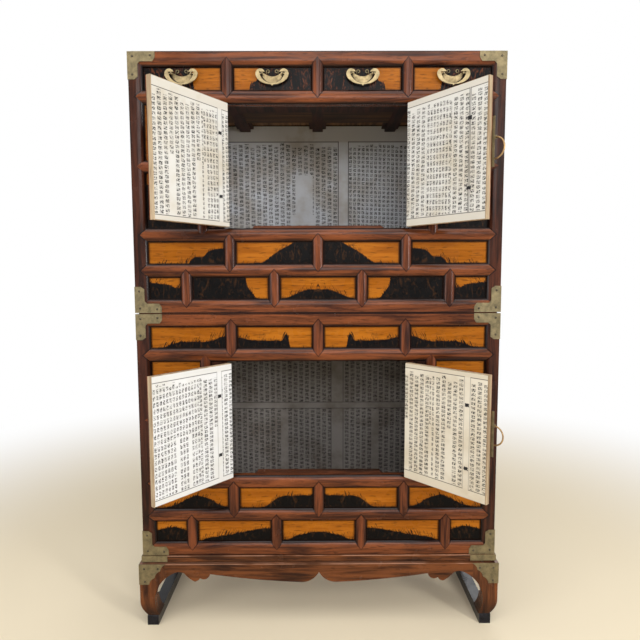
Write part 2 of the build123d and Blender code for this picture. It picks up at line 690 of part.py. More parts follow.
def bail(face):
    """A bat-shaped pull: a flat loop whose thick ends curl over the pivot pins."""
    gap_rise = GAP_DROP + LOBE_Z
    gap_r = (GAP_HALF**2 + gap_rise**2) / (2 * gap_rise)
    shape = Pos(0, LOBE_Z) * Ellipse(BAIL_HALF, LOBE_Z + BAIL_DROP) & below(LOBE_Z)
    shape = shape + Pos(0, -BAIL_DROP) * Circle(BAIL_TIP_R)
    for side in (-1, 1):
        shape = shape + Pos(side * LOBE_X, LOBE_Z) * Circle(LOBE_R)
    shape = shape - (Pos(0, gap_r - GAP_DROP) * Circle(gap_r) & below(CURL_Z))
    y = face - PIVOT_OUT
    solid = slab_xz(shape, y - BAIL_T / 2, y + BAIL_T / 2)
    free_end = PIVOT_X - BOLT_EYE_T / 2 - CROSS_PIN_PAST
    for side in (-1, 1):
        seat = side * (GAP_HALF + CROSS_PIN_SEAT)
        solid = solid + rod_x(CROSS_PIN_R, side * free_end, seat, y, PIVOT_Z)
    return solid


def backplate(face):
    """The crescent plate behind a bail, and the two eye bolts that carry the bail."""
    moon = Pos(0, BACKPLATE_UP) * Circle(BACKPLATE_R) & below(BACKPLATE_TOP)
    moon = moon - Pos(0, BACKPLATE_HOLLOW_UP) * Circle(BACKPLATE_HOLLOW_R)
    plate = slab_xz(moon, face - BACKPLATE_T, face)
    plate = chamfer(plate.faces().sort_by(Axis.Y)[0].edges(), BACKPLATE_BEVEL)
    y = face - PIVOT_OUT
    bolts = []
    for side in (-1, 1):
        x = side * PIVOT_X
        stem = rod_y(BOLT_R, y + CROSS_PIN_R + BOLT_BACK, face, x, PIVOT_Z)
        plate = plate - rod_y(BOLT_R, face - 2 * BACKPLATE_T, face, x, PIVOT_Z)
        ball = rod_x(BOLT_EYE_R, x - BOLT_EYE_T / 2, x + BOLT_EYE_T / 2, y, PIVOT_Z)
        hole = rod_x(CROSS_PIN_R + PIN_PLAY, x - BOLT_EYE_T, x + BOLT_EYE_T, y, PIVOT_Z)
        bolts.append(stem + ball - hole)
    return [plate, *bolts]


# ---- the stand
def leg_curve(half):
    """Inner edge of a leg from its foot up, and the arch to the apron, half from the middle."""
    foot = (half - FOOT_IN, RUNNER_BAR_H)
    neck = (half - NECK_IN, NECK_Z)
    crown = (half - CROWN_IN, ARCH_TOP_Z)
    fall = (half - ARCH_FALL_IN, ARCH_TOP_Z - ARCH_FALL)
    end = (half - ARCH_END_IN, ARCH_END_Z)
    shin = ThreePointArc(foot, (half - SHIN_IN, SHIN_Z), neck)
    arch = ThreePointArc(neck, (half - ARCH_IN, ARCH_Z), crown)
    return [shin, arch, ThreePointArc(crown, fall, end)], end


def shin_curve(half, toe):
    """Outer edge of a leg, curving in to its foot, which lies a toe's set inside it."""
    knee = (half - SHIN_SHARE * toe, SHIN_OUT_Z)
    return ThreePointArc((half, NECK_Z), knee, (half - toe, RUNNER_BAR_H))


def half_outline(half, toe, cusped):
    """Right half of a stand side: apron and leg, half wide, as a face in X and Z."""
    edges, end = leg_curve(half)
    edges.append(shin_curve(half, toe))
    edges.append(Line((half - FOOT_IN, RUNNER_BAR_H), (half - toe, RUNNER_BAR_H)))
    edges.append(Polyline((half, NECK_Z), (half, STAND_TOP_Z), (0, STAND_TOP_Z)))
    if cusped:
        low = (half - CUSP_IN, CUSP_Z)
        notch = (half - NOTCH_IN, NOTCH_Z)
        shoulder = (half - SHOULDER_IN, SHOULDER_Z)
        edges.append(ThreePointArc(end, (half - CUSP_BOW_IN, CUSP_Z + CUSP_BOW), low))
        edges.append(ThreePointArc(low, (half - NOTCH_BOW_IN, CUSP_Z + NOTCH_BOW), notch))
        edges.append(ThreePointArc(notch, (half - SMALL_LOBE_IN, SMALL_LOBE_Z), shoulder))
        middle = ((DIP_X + shoulder[0]) / 2, (DIP_Z + SHOULDER_Z) / 2 - SHOULDER_SAG)
        edges.append(ThreePointArc(shoulder, middle, (DIP_X, DIP_Z)))
        edges.append(ThreePointArc((DIP_X, DIP_Z), (DIP_BOW_X, DIP_Z + DIP_BOW), (0, PEAK_Z)))
        edges.append(Line((0, PEAK_Z), (0, STAND_TOP_Z)))
    else:
        edges.append(Polyline(end, (0, ARCH_END_Z), (0, STAND_TOP_Z)))
    return make_face(edges)


def stand_side(half, toe, cusped):
    """A whole stand side, symmetric about the middle."""
    right = half_outline(half, toe, cusped)
    return right + mirror(right, about=Plane.YZ)


def stand_legs(wide, narrow):
    """Four legs, shaped alike in front and side view, hollowed to an L above the foot."""
    leg_in_x, leg_in_y = LEG_X - LEG_TOP, LEG_Y - LEG_TOP
    wall_x, wall_y = LEG_X - APRON_T, LEG_Y - APRON_T
    both = slab_xz(wide, -LEG_Y, LEG_Y) & slab_yz(narrow, -LEG_X, LEG_X)
    both = both - block(-wall_x, wall_x, -wall_y, wall_y, FOOT_BLOCK_Z, STAND_H)
    legs = []
    for side in (-1, 1):
        for rear in (-1, 1):
            corner = block(
                side * leg_in_x, side * LEG_X, rear * leg_in_y, rear * LEG_Y, 0, STAND_H
            )
            legs.append(both & corner)
    return legs


def stand():
    """Legs, aprons, top frame, runners and their brass."""
    wide_front, wide_back = (stand_side(LEG_X, FOOT_OUT, cusped) for cusped in (True, False))
    narrow = stand_side(LEG_Y, TOE_SET, False)
    keep("stand_legs", stand_legs(wide_back, narrow))
    leg_in_x, leg_in_y = LEG_X - LEG_TOP, LEG_Y - LEG_TOP
    across = block(-leg_in_x, leg_in_x, -LEG_Y, LEG_Y, 0, STAND_H)
    keep("stand_front_apron", [slab_xz(wide_front, -LEG_Y, APRON_T - LEG_Y) & across])
    back_apron = slab_xz(wide_back, LEG_Y - APRON_T, LEG_Y) & across
    between = block(-LEG_X, LEG_X, -leg_in_y, leg_in_y, 0, STAND_H)
    side_apron = slab_yz(narrow, LEG_X - APRON_T, LEG_X) & between
    keep("stand_side_and_back_aprons", [side_apron, flipped(side_apron), back_apron])

    bars = []
    for side in (-1, 1):
        outer = LEG_X - RUNNER_BAR_IN
        end = LEG_Y - TOE_SET
        bar = block(side * (outer - RUNNER_BAR_W), side * outer, -end, end, 0, RUNNER_BAR_H)
        bars.append(chamfer(bar.edges().filter_by(Axis.X).group_by(Axis.Z)[-1], RUNNER_CHAMFER))
    keep("stand_runners", bars)
    keep("stand_top_frame", top_frame())


def top_frame():
    """Four mitred members under the lower tier, with a recessed band below the upper one."""
    members = []
    outer_x, outer_y = HALF + TOP_OVER, BODY_D / 2 + TOP_OVER
    z_mid = STAND_H - TOP_BAND
    for layer in ((0, z_mid, STAND_H), (BAND_IN, STAND_TOP_Z, z_mid)):
        inset, z0, z1 = layer
        x, y = outer_x - inset, outer_y - inset
        ix, iy = outer_x - TOP_FRAME_W, outer_y - TOP_FRAME_W
        outer = ((-x, -y), (x, -y), (x, y), (-x, y))
        inner = ((-ix, -iy), (ix, -iy), (ix, iy), (-ix, iy))
        ring = []
        for i in range(4):
            j = (i + 1) % 4
            ring.append(slab_xy(outline([outer[i], outer[j], inner[j], inner[i]]), z0, z1))
        members.append(ring)
    return [upper + lower for upper, lower in zip(*members)]


# ---- brass on the corners
def bracket_face():
    """An L-shaped corner plate with slanted ends, its corner at 0, 0, arms along +X and +Z."""
    turn, tip, side = ARM_W + BRACKET_NICK, BRACKET - ARM_END, ARM_W - ARM_END_W
    points = [(0, 0), (BRACKET, 0), (BRACKET, side), (tip, ARM_W), (turn, ARM_W)]
    points += [(ARM_W, turn), (ARM_W, tip), (side, BRACKET), (0, BRACKET)]
    return outline(points)


def bent_bracket(face, x, y, z, up):
    """A plate bent round a left front corner, one leaf on the front and one on the side."""
    shape = face if up > 0 else mirror(face, about=Plane.XZ)
    front = Pos(x, y, z) * slab_xz(shape, -BRASS_T, 0)
    side = Pos(x, y, z) * slab_yz(shape, -BRASS_T, 0)
    bend = front.bounding_box()
    return front + side + block(x - BRASS_T, x, y - BRASS_T, y, bend.min.Z, bend.max.Z)


def corner_brackets(base):
    """Brackets on the four front corners of a tier."""
    solids = []
    for z, up in ((base, 1), (base + TIER_H, -1)):
        plate = bent_bracket(bracket_face(), -HALF, FRONT, z, up)
        solids += [plate, flipped(plate)]
    keep("corner_brackets", solids)


def scallops(start, end, count, depth):
    """A run of equal hollows along the line between two points."""
    run, rise = end[0] - start[0], end[1] - start[1]
    length = math.hypot(run, rise)
    in_x, in_z = -depth * rise / length, depth * run / length
    arcs = []
    for i in range(count):
        ends = [(start[0] + run * k / count, start[1] + rise * k / count) for k in (i, i + 1)]
        middle_x = (ends[0][0] + ends[1][0]) / 2 + in_x
        middle_z = (ends[0][1] + ends[1][1]) / 2 + in_z
        arcs.append(ThreePointArc(ends[0], (middle_x, middle_z), ends[1]))
    return arcs


def leg_brass_face():
    """A leg plate with a scalloped slanting edge, its top corner at 0, 0, hanging down."""
    low, high = (LEG_BRASS_FOOT_W, -LEG_BRASS_H), (LEG_BRASS_W, 0)
    edges = [Polyline(high, (0, 0), (0, -LEG_BRASS_H), low)]
    return make_face(edges + scallops(low, high, LEG_SCALLOPS, LEG_SCALLOP_DEPTH))


def stand_brass():
    """Leg plates bent round the front legs, and straps round the top frame's front corners."""
    solids = []
    face = leg_brass_face()
    z = STAND_TOP_Z
    front = Pos(-LEG_X, -LEG_Y, z) * slab_xz(face, -BRASS_T, 0)
    side = Pos(-LEG_X, -LEG_Y, z) * slab_yz(face, -BRASS_T, 0)
    corner = block(-LEG_X - BRASS_T, -LEG_X, -LEG_Y - BRASS_T, -LEG_Y, z - LEG_BRASS_H, z)
    solids.append(front + side + corner)
    x, y = -HALF - TOP_OVER, FRONT - TOP_OVER
    outer = block(x - BRASS_T, x + STRAP_W, y - BRASS_T, y + STRAP_W, STAND_H - TOP_BAND, STAND_H)
    inner = block(x, x + 2 * STRAP_W, y, y + 2 * STRAP_W, 0, 2 * STAND_H)
    solids.append(outer - inner)
    keep("stand_brass", solids + [flipped(solid) for solid in solids])


# ---- the whole chest
for tier, base in BASES.items():
    front_posts = front_frame(tier, base)
    carcass(tier, base, front_posts)
    doorway(base)
    corner_brackets(base)
    for side_name in ("left", "right"):
        door(tier, side_name, base)
drawer_supports(BASES["upper"])
for number, (x0, x1) in enumerate(row_openings(STRAIGHT_ROW), start=1):
    drawer(number, x0, x1, BASES["upper"])
stand()
stand_brass()

os.makedirs("parts", exist_ok=True)
for name, solids in NODES.items():
    pieces = [piece for solid in solids for piece in solid.solids()]
    export_step(Compound(children=pieces, label=name), f"parts/{name}.step")
print(len(NODES), "nodes,", sum(len(solids) for solids in NODES.values()), "solids")
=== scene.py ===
# %% [markdown]
# # A two-tier clothes chest
# The solid parts of the chest come ready made as a frame. This lesson gives them their wood,
# brass and paper, and adds what is too thin or too small for the solid model: the sheets pasted
# inside, the nails and the little curls of the drawer handles.

# %% Load the frame
import math

import bmesh
import bpy
from mathutils import Matrix, Vector


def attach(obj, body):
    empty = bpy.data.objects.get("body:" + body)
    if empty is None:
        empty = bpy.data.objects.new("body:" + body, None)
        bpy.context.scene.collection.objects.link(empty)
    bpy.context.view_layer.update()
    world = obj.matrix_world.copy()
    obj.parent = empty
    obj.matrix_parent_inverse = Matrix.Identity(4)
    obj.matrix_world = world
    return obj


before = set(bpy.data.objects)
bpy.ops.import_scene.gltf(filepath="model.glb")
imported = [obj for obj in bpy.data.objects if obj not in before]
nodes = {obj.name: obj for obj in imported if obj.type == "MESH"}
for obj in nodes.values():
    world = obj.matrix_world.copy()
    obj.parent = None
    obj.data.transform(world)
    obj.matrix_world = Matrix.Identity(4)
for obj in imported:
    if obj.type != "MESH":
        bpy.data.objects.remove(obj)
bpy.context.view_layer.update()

# %% [markdown]
# ## The eye that looks at it
# The camera stands in front of the chest at the height of a person sitting down, and looks a
# little downwards. Its place was worked out from the chest's straight lines, so it is written
# here as plain numbers and never moved.

# %% The camera
PITCH, YAW, ROLL = 0.08732, -0.00335, -0.00277
to_view = Matrix(((1, 0, 0), (0, 0, -1), (0, 1, 0)))
turn_x = Matrix(((1, 0, 0), (0, math.cos(PITCH), -math.sin(PITCH)), (0, math.sin(PITCH), math.cos(PITCH))))
turn_y = Matrix(((math.cos(YAW), 0, math.sin(YAW)), (0, 1, 0), (-math.sin(YAW), 0, math.cos(YAW))))
turn_z = Matrix(((math.cos(ROLL), -math.sin(ROLL), 0), (math.sin(ROLL), math.cos(ROLL), 0), (0, 0, 1)))
view = turn_z @ turn_x @ turn_y @ to_view
eye = bpy.data.objects.new("eye", bpy.data.cameras.new("eye"))
bpy.context.scene.collection.objects.link(eye)
eye.data.lens = 30.22
eye.data.sensor_width = 36.0
eye.matrix_world = (
    Matrix.Translation((0.0000015, -1.46906, 0.886))
    @ Matrix((view[0], -view[1], -view[2])).transposed().to_4x4()
)
bpy.context.scene.camera = eye
bpy.context.scene.view_settings.view_transform = "Standard"
print("camera at", [round(v, 3) for v in eye.matrix_world.translation])

# %% [markdown]
# ## Room and light
# Lacquer shows its shape by what it mirrors. A tall soft lamp on the right draws a bright line
# down each rounded upright, a wide one in front fills the shadows and reaches into the tiers, a
# weak one on the left keeps the dark side readable, one above lights the floor and the ledges,
# and a weak one behind shows the back. The floor is one plain pale sheet.

# %% Floor and lamps
def soft_lamp(name, place, aim, size, power):
    """A rectangular lamp at a place, turned to face a point."""
    data = bpy.data.lights.new(name, "AREA")
    data.shape = "RECTANGLE"
    data.size, data.size_y = size
    data.energy = power
    lamp = bpy.data.objects.new(name, data)
    lamp.location = place
    lamp.rotation_euler = (Vector(aim) - Vector(place)).to_track_quat("-Z", "Y").to_euler()
    bpy.context.scene.collection.objects.link(lamp)


soft_lamp("lamp_right", (2.3, -2.4, 1.5), (0.1, 0, 0.8), (0.4, 1.7), 46)
soft_lamp("lamp_left", (-2.6, -2.2, 1.3), (0, 0, 0.7), (1.2, 1.8), 28)
soft_lamp("lamp_front", (0.2, -3.2, 2.0), (0, 0, 0.8), (2.2, 1.2), 40)
soft_lamp("lamp_above", (0, -1.6, 3.4), (0, -0.6, 0), (3.0, 2.0), 58)
soft_lamp("lamp_behind", (0.9, 3.2, 2.4), (0, 0, 0.8), (2.2, 1.4), 30)

ground = bmesh.new()
bmesh.ops.create_grid(ground, x_segments=1, y_segments=1, size=6)
ground_mesh = bpy.data.meshes.new("floor")
ground.to_mesh(ground_mesh)
ground.free()
floor = bpy.data.objects.new("floor", ground_mesh)
bpy.context.scene.collection.objects.link(floor)
print("five lamps and a floor")

# %% [markdown]
# ## Short words for shader nodes
# A material is a little machine of nodes. These helpers let each finish below be written as a
# sum of what it is made of, rather than as a page of wiring.

# %% Node helpers
def put(tree, socket, value):
    """Feeds a socket from another one, or sets it to a plain value."""
    if isinstance(value, bpy.types.NodeSocket):
        tree.links.new(value, socket)
    else:
        socket.default_value = value


def calc(tree, operation, *values):
    """One sum on numbers."""
    node = tree.nodes.new("ShaderNodeMath")
    node.operation = operation
    for socket, value in zip(node.inputs, values):
        put(tree, socket, value)
    return node.outputs[0]


def product(tree, *values):
    """Several numbers multiplied together."""
    total = values[0]
    for value in values[1:]:
        total = calc(tree, "MULTIPLY", total, value)
    return total


def nearest(tree, *values):
    """The smallest of several numbers."""
    least = values[0]
    for value in values[1:]:
        least = calc(tree, "MINIMUM", least, value)
    return least


def between(tree, value, low, high):
    """1 from low to high, 0 outside."""
    return product(tree, calc(tree, "GREATER_THAN", value, low), calc(tree, "LESS_THAN", value, high))


def off(tree, value, middle):
    """How far a value is from a middle."""
    return calc(tree, "ABSOLUTE", calc(tree, "SUBTRACT", value, middle))


def step(tree, value, low, high, start=0.0, end=1.0):
    """A soft step from start to end while the value goes from low to high."""
    node = tree.nodes.new("ShaderNodeMapRange")
    node.interpolation_type = "SMOOTHSTEP"
    names = "Value", "From Min", "From Max", "To Min", "To Max"
    for name, what in zip(names, (value, low, high, start, end)):
        put(tree, node.inputs[name], what)
    return node.outputs[0]


def blend_colour(tree, share, first, second):
    """The first colour where the share is 0, the second where it is 1."""
    node = tree.nodes.new("ShaderNodeMix")
    node.data_type = "RGBA"
    put(tree, node.inputs[0], share)
    put(tree, node.inputs[6], first)
    put(tree, node.inputs[7], second)
    return node.outputs[2]


def cloud(tree, place, scale, detail=2.0, rough=0.5, warp=0.0):
    """Smooth noise."""
    node = tree.nodes.new("ShaderNodeTexNoise")
    put(tree, node.inputs["Vector"], place)
    node.inputs["Scale"].default_value = scale
    node.inputs["Detail"].default_value = detail
    node.inputs["Roughness"].default_value = rough
    node.inputs["Distortion"].default_value = warp
    return node.outputs[0]


def stretched(tree, place, scale):
    """The same place, squeezed or stretched along each axis."""
    node = tree.nodes.new("ShaderNodeMapping")
    put(tree, node.inputs["Vector"], place)
    node.inputs["Scale"].default_value = scale
    return node.outputs[0]


def parts_of(tree, place):
    """X, Y and Z of a place."""
    node = tree.nodes.new("ShaderNodeSeparateXYZ")
    put(tree, node.inputs[0], place)
    return node.outputs


def joined(tree, x, y, z):
    """A place from three numbers."""
    node = tree.nodes.new("ShaderNodeCombineXYZ")
    for socket, value in zip(node.inputs, (x, y, z)):
        put(tree, socket, value)
    return node.outputs[0]


def drawn(tree, value, points, reach):
    """A curve drawn through points of place and height, for heights from -0.5 to 1.5."""
    node = tree.nodes.new("ShaderNodeFloatCurve")
    spots = [(along / reach, (height + 0.5) / 2) for along, height in sorted(points)]
    node.mapping.extend = "HORIZONTAL"
    curve = node.mapping.curves[0]
    curve.points[0].location, curve.points[1].location = spots[0], spots[-1]
    for spot in spots[1:-1]:
        curve.points.new(*spot)
    for point in curve.points:
        point.handle_type = "AUTO_CLAMPED"
    node.mapping.update()
    put(tree, node.inputs["Value"], calc(tree, "DIVIDE", value, reach))
    return calc(tree, "MULTIPLY_ADD", node.outputs[0], 2.0, -0.5)


def bumped(tree, height, distance, strength=1.0):
    """A surface that rises with a height."""
    node = tree.nodes.new("ShaderNodeBump")
    put(tree, node.inputs["Height"], height)
    node.inputs["Distance"].default_value = distance
    node.inputs["Strength"].default_value = strength
    return node.outputs[0]


def seen_rays(tree):
    """1 for what the camera, a mirror or a glass sees, 0 for what only lights something."""
    rays = tree.nodes.new("ShaderNodeLightPath")
    seen = calc(tree, "ADD", rays.outputs["Is Camera Ray"], rays.outputs["Is Transmission Ray"])
    return nearest(tree, calc(tree, "ADD", seen, rays.outputs["Is Glossy Ray"]), 1.0)


def finish_called(name):
    """An empty finish: its material, its tree, its shader and the place on the piece."""
    material = bpy.data.materials.new(name)
    material.use_nodes = True
    tree = material.node_tree
    shader = tree.nodes["Principled BSDF"]
    place = tree.nodes.new("ShaderNodeTexCoord").outputs["Object"]
    return material, tree, shader, place


def wear(node_name, material):
    """Gives a CAD node its finish."""
    slots = nodes[node_name].data.materials
    slots.clear()
    slots.append(material)


def rgb(red, green, blue):
    """A colour picked on a screen, 0 to 255, as light."""
    return tuple(((v / 255 + 0.055) / 1.055) ** 2.4 for v in (red, green, blue)) + (1.0,)


print("red lacquer reads as", [round(v, 3) for v in rgb(118, 52, 28)])

# %% [markdown]
# ## Lacquered wood
# The frame is a reddish hardwood under clear lacquer. Grain runs along each stick, so the noise
# is drawn out along X for rails and along Z for uprights. Old polish and grime gather in the
# hollows, and painted shade is laid there too: the front edges lie behind the crown of each stick,
# so the colour darkens with depth. The short cross rails beside the doors are one node with the
# muntins, so the grain is turned where they run.

# %% Lacquer
RAIL_CROWN, MUNTIN_CROWN = -0.175, -0.177
BEAD_BACK = 0.0118
OUTER_SIDE = 0.4395
SIDE_START = 0.4165
LOWER, UPPER = 0.181, 0.791
TIER_STEP, TIER_TALL = 0.610, 0.607
LEDGES, LOW_GROOVE = (0.1799, 0.1611), 0.1637
POST_EDGE = 0.408
PITCH_HALF = 0.10575
BEAK, UPRIGHT_HALF, RAIL_HALF = 0.018, 0.015, 0.016
# for each row of panels, the height of its bottom and top in the tier, which way the points of its
# uprights run there, and how far from the middle the first upright stands
UPRIGHT_ENDS = (
    (0.032, -1, PITCH_HALF), (0.085, 1, PITCH_HALF),
    (0.117, -1, 0), (0.170, 1, 0),
    (0.522, -1, 0), (0.575, 1, 0),
)
RAIL_MIDDLES = (0.101, 0.186, 0.506)
CROSS_FROM, CROSS_MIDDLE = 0.29, 0.346
LONG = 0.07
GRAIN = {"x": (LONG, 1, 1), "y": (1, LONG, 1), "z": (1, 1, LONG)}
# GRIME_AND_SHADE is the colour of old grime and painted shade in the hollows of the lacquer
PORE_BLACK, GRIME_AND_SHADE, STAND_SHADE = rgb(22, 9, 6), rgb(15, 8, 7), rgb(16, 9, 7)
# LEDGE_HIGHLIGHT is a painted highlight, pale where light catches the ledges of the stand
LEDGE_HIGHLIGHT = rgb(176, 132, 108)
LACQUER_SHINE = 0.16


def up_in_tier(tree, z):
    """Height over the foot of the tier that a place is in."""
    return calc(tree, "MODULO", calc(tree, "SUBTRACT", z, LOWER), TIER_STEP)


def wood_colour(tree, place, along, dark, light):
    """Streaks along the grain, with broad clouds and fine pores. Returns colour and pores."""
    combed = stretched(tree, place, GRAIN[along])
    streak = cloud(tree, combed, 75, 4, 0.62, 0.6)
    patch = cloud(tree, place, 5, 2)
    pores = cloud(tree, stretched(tree, combed, (1, 1, 0.5)), 620, 2)
    share = calc(tree, "ADD", calc(tree, "MULTIPLY", streak, 0.80), calc(tree, "MULTIPLY", patch, 0.40))
    colour = blend_colour(tree, step(tree, share, 0.44, 0.76), dark, light)
    colour = blend_colour(tree, step(tree, pores, 0.58, 0.70, 0, 0.45), colour, PORE_BLACK)
    return colour, pores


def pointed_end(tree, root, aside, half):
    """A dark line round a pointed end, by how far past its root and how far aside a place is. Grime and
    painted shade both make it.
    """
    spread = calc(tree, "MULTIPLY_ADD", aside, BEAK / half, root)
    line = step(tree, off(tree, spread, BEAK + 0.0012), 0.0006, 0.0022, 0.92, 0)
    return product(tree, line, between(tree, root, -0.001, BEAK + 0.003))


def dirt_and_shade_on_rails(tree, x, z):
    """Dark lines on the rails, round the points of the uprights that run over them. Grime and painted shade
    darken them.
    """
    distance = calc(tree, "ABSOLUTE", x)
    up = up_in_tier(tree, z)
    dirt_and_shade = 0.0
    for edge, turn, first in UPRIGHT_ENDS:
        aside = calc(tree, "PINGPONG", calc(tree, "SUBTRACT", distance, first), 2 * PITCH_HALF)
        aside = nearest(tree, aside, calc(tree, "SUBTRACT", 2 * PITCH_HALF, aside))
        root = calc(tree, "MULTIPLY", calc(tree, "SUBTRACT", up, edge), turn)
        dirt_and_shade = calc(tree, "MAXIMUM", dirt_and_shade, pointed_end(tree, root, aside, UPRIGHT_HALF))
    return product(tree, dirt_and_shade, calc(tree, "LESS_THAN", distance, POST_EDGE - 0.006))


def dirt_and_shade_on_posts(tree, x, z):
    """Dark lines on the posts, round the points of the rails. Grime and painted shade darken them."""
    up = up_in_tier(tree, z)
    root = calc(tree, "SUBTRACT", calc(tree, "ABSOLUTE", x), POST_EDGE)
    dirt_and_shade = 0.0
    for middle in RAIL_MIDDLES:
        aside = off(tree, up, middle)
        dirt_and_shade = calc(tree, "MAXIMUM", dirt_and_shade, pointed_end(tree, root, aside, RAIL_HALF))
    return dirt_and_shade


def stand_highlight_and_shade(tree, place, colour):
    """A painted highlight along the two ledges of the stand, and painted shade in the groove between them and
    low on the legs.
    """
    z = parts_of(tree, place)[2]
    painted_highlight = 0.0
    # a painted highlight along each ledge
    for ledge in LEDGES:
        line = step(tree, off(tree, z, ledge), 0.0003, 0.0013, 1, 0)
        painted_highlight = calc(tree, "MAXIMUM", painted_highlight, line)
    patchy = step(tree, cloud(tree, stretched(tree, place, (0.3, 1, 1)), 40, 2), 0.35, 0.55, 0.15, 0.8)
    colour = blend_colour(tree, product(tree, painted_highlight, patchy), colour, LEDGE_HIGHLIGHT)
    # painted shade: dark in the groove under the top band, and low down on the legs
    groove = step(tree, off(tree, z, LOW_GROOVE), 0.0006, 0.0018, 0.9, 0)
    low = step(tree, z, 0.028, 0.075, 0.75, 0)
    return blend_colour(tree, calc(tree, "MAXIMUM", groove, low), colour, STAND_SHADE)


def framed_colour(tree, place, dark, light):
    """Grain along X in the back members and along Y in the side members. Returns colour and pores."""
    distance = calc(tree, "ABSOLUTE", parts_of(tree, place)[0])
    level, pores = wood_colour(tree, place, "x", dark, light)
    deep, _ = wood_colour(tree, place, "y", dark, light)
    return blend_colour(tree, calc(tree, "GREATER_THAN", distance, SIDE_START), level, deep), pores


def crossed_colour(tree, place, dark, light):
    """Grain along Z in the muntins and along X in the short cross rails. Returns colour and pores."""
    x, _, z = parts_of(tree, place)
    up = up_in_tier(tree, z)
    aside = off(tree, up, CROSS_MIDDLE)
    root = calc(tree, "SUBTRACT", CROSS_FROM, calc(tree, "ABSOLUTE", x))
    spread = calc(tree, "MULTIPLY_ADD", aside, BEAK / UPRIGHT_HALF, root)
    level = product(
        tree, calc(tree, "LESS_THAN", spread, BEAK), calc(tree, "LESS_THAN", aside, UPRIGHT_HALF + 0.0005))
    upright, pores = wood_colour(tree, place, "z", dark, light)
    crossing, _ = wood_colour(tree, place, "x", dark, light)
    return blend_colour(tree, level, upright, crossing), pores


def lacquer(name, along, dark, light, crown=None, dirt_and_shade=None, edges=None):
    """Lacquered wood with its grain along one axis, black in the hollows behind a crown with old polish and
    painted shade.
    """
    material, tree, shader, place = finish_called(name)
    if along == "frame":
        colour, pores = framed_colour(tree, place, dark, light)
    elif along == "cross":
        colour, pores = crossed_colour(tree, place, dark, light)
    else:
        colour, pores = wood_colour(tree, place, along, dark, light)
    if edges is not None:
        colour = edges(tree, place, colour)
    if crown is not None:
        x, depth, z = parts_of(tree, place)
        front = calc(tree, "LESS_THAN", depth, crown + BEAD_BACK)
        inward = calc(tree, "LESS_THAN", calc(tree, "ABSOLUTE", x), OUTER_SIDE)
        # painted shade with old grime: darker with depth behind the crown, and dark along the tier seams
        grime_and_shade = step(tree, depth, crown + 0.0018, crown + 0.0056, 0, 0.94)
        seam = up_in_tier(tree, z)
        seam = nearest(tree, seam, calc(tree, "SUBTRACT", TIER_TALL, seam))
        grime_and_shade = calc(tree, "MAXIMUM", grime_and_shade, step(tree, seam, 0.0008, 0.0018, 0.9, 0))
        if dirt_and_shade is not None:
            grime_and_shade = calc(tree, "MAXIMUM", grime_and_shade, dirt_and_shade(tree, x, z))
        colour = blend_colour(tree, product(tree, grime_and_shade, front, inward), colour, GRIME_AND_SHADE)
    put(tree, shader.inputs["Base Color"], colour)
    put(tree, shader.inputs["Roughness"], step(tree, cloud(tree, place, 30, 3), 0.35, 0.7, 0.15, 0.28))
    put(tree, shader.inputs["Normal"], bumped(tree, pores, 0.0002, 0.3))
    shader.inputs["Specular IOR Level"].default_value = LACQUER_SHINE
    return material


RED_DARK, RED_LIGHT = rgb(48, 23, 13), rgb(120, 65, 34)
rail_finish = lacquer("lacquer_rails", "x", RED_DARK, RED_LIGHT, RAIL_CROWN, dirt_and_shade_on_rails)
post_finish = lacquer("lacquer_posts", "z", rgb(31, 15, 10), rgb(75, 39, 25), RAIL_CROWN, dirt_and_shade_on_posts)
muntin_finish = lacquer("lacquer_muntins", "cross", rgb(48, 23, 14), rgb(116, 62, 35), MUNTIN_CROWN)
stand_finish = lacquer("lacquer_stand", "x", rgb(42, 21, 11), rgb(106, 60, 31), edges=stand_highlight_and_shade)
leg_finish = lacquer("lacquer_legs", "z", rgb(44, 22, 12), rgb(112, 64, 34), edges=stand_highlight_and_shade)
board_finish = lacquer("lacquer_boards", "x", rgb(40, 20, 11), rgb(96, 52, 30))
side_finish = lacquer("lacquer_sides", "z", rgb(34, 16, 11), rgb(86, 46, 30))
deep_finish = lacquer("lacquer_depth", "frame", rgb(34, 16, 11), rgb(86, 46, 30))
dark_finish = lacquer("dark_boards", "z", rgb(18, 11, 10), rgb(58, 32, 22))
black_finish = lacquer("black_runners", "y", rgb(12, 11, 13), rgb(34, 33, 38))
for tier in ("lower", "upper"):
    wear(tier + "_front_rails", rail_finish)
    wear(tier + "_front_muntins", muntin_finish)
    wear(tier + "_posts", post_finish)
    wear(tier + "_side_panels", side_finish)
    wear(tier + "_side_and_back_rails", deep_finish)
wear("stand_front_apron", stand_finish)
wear("stand_top_frame", stand_finish)
wear("stand_side_and_back_aprons", deep_finish)
wear("stand_legs", leg_finish)
wear("stand_runners", black_finish)
wear("hinge_boards", dark_finish)
wear("top_boards", board_finish)
wear("back_panels", dark_finish)
wear("door_stops", board_finish)
print("ten lacquers")

# %% [markdown]
# ## Bare wood
# Inside, nothing is lacquered. Drawer boxes are pale softwood gone brown, and the boards and
# runners over the upper doorway are a dark brown.

# %% Bare wood
def bare_wood(name, along, dark, light):
    """Unfinished wood, matt, with its pores open."""
    material, tree, shader, place = finish_called(name)
    colour, pores = wood_colour(tree, place, along, dark, light)
    put(tree, shader.inputs["Base Color"], colour)
    put(tree, shader.inputs["Normal"], bumped(tree, pores, 0.0003, 0.4))
    shader.inputs["Roughness"].default_value = 0.72
    return material


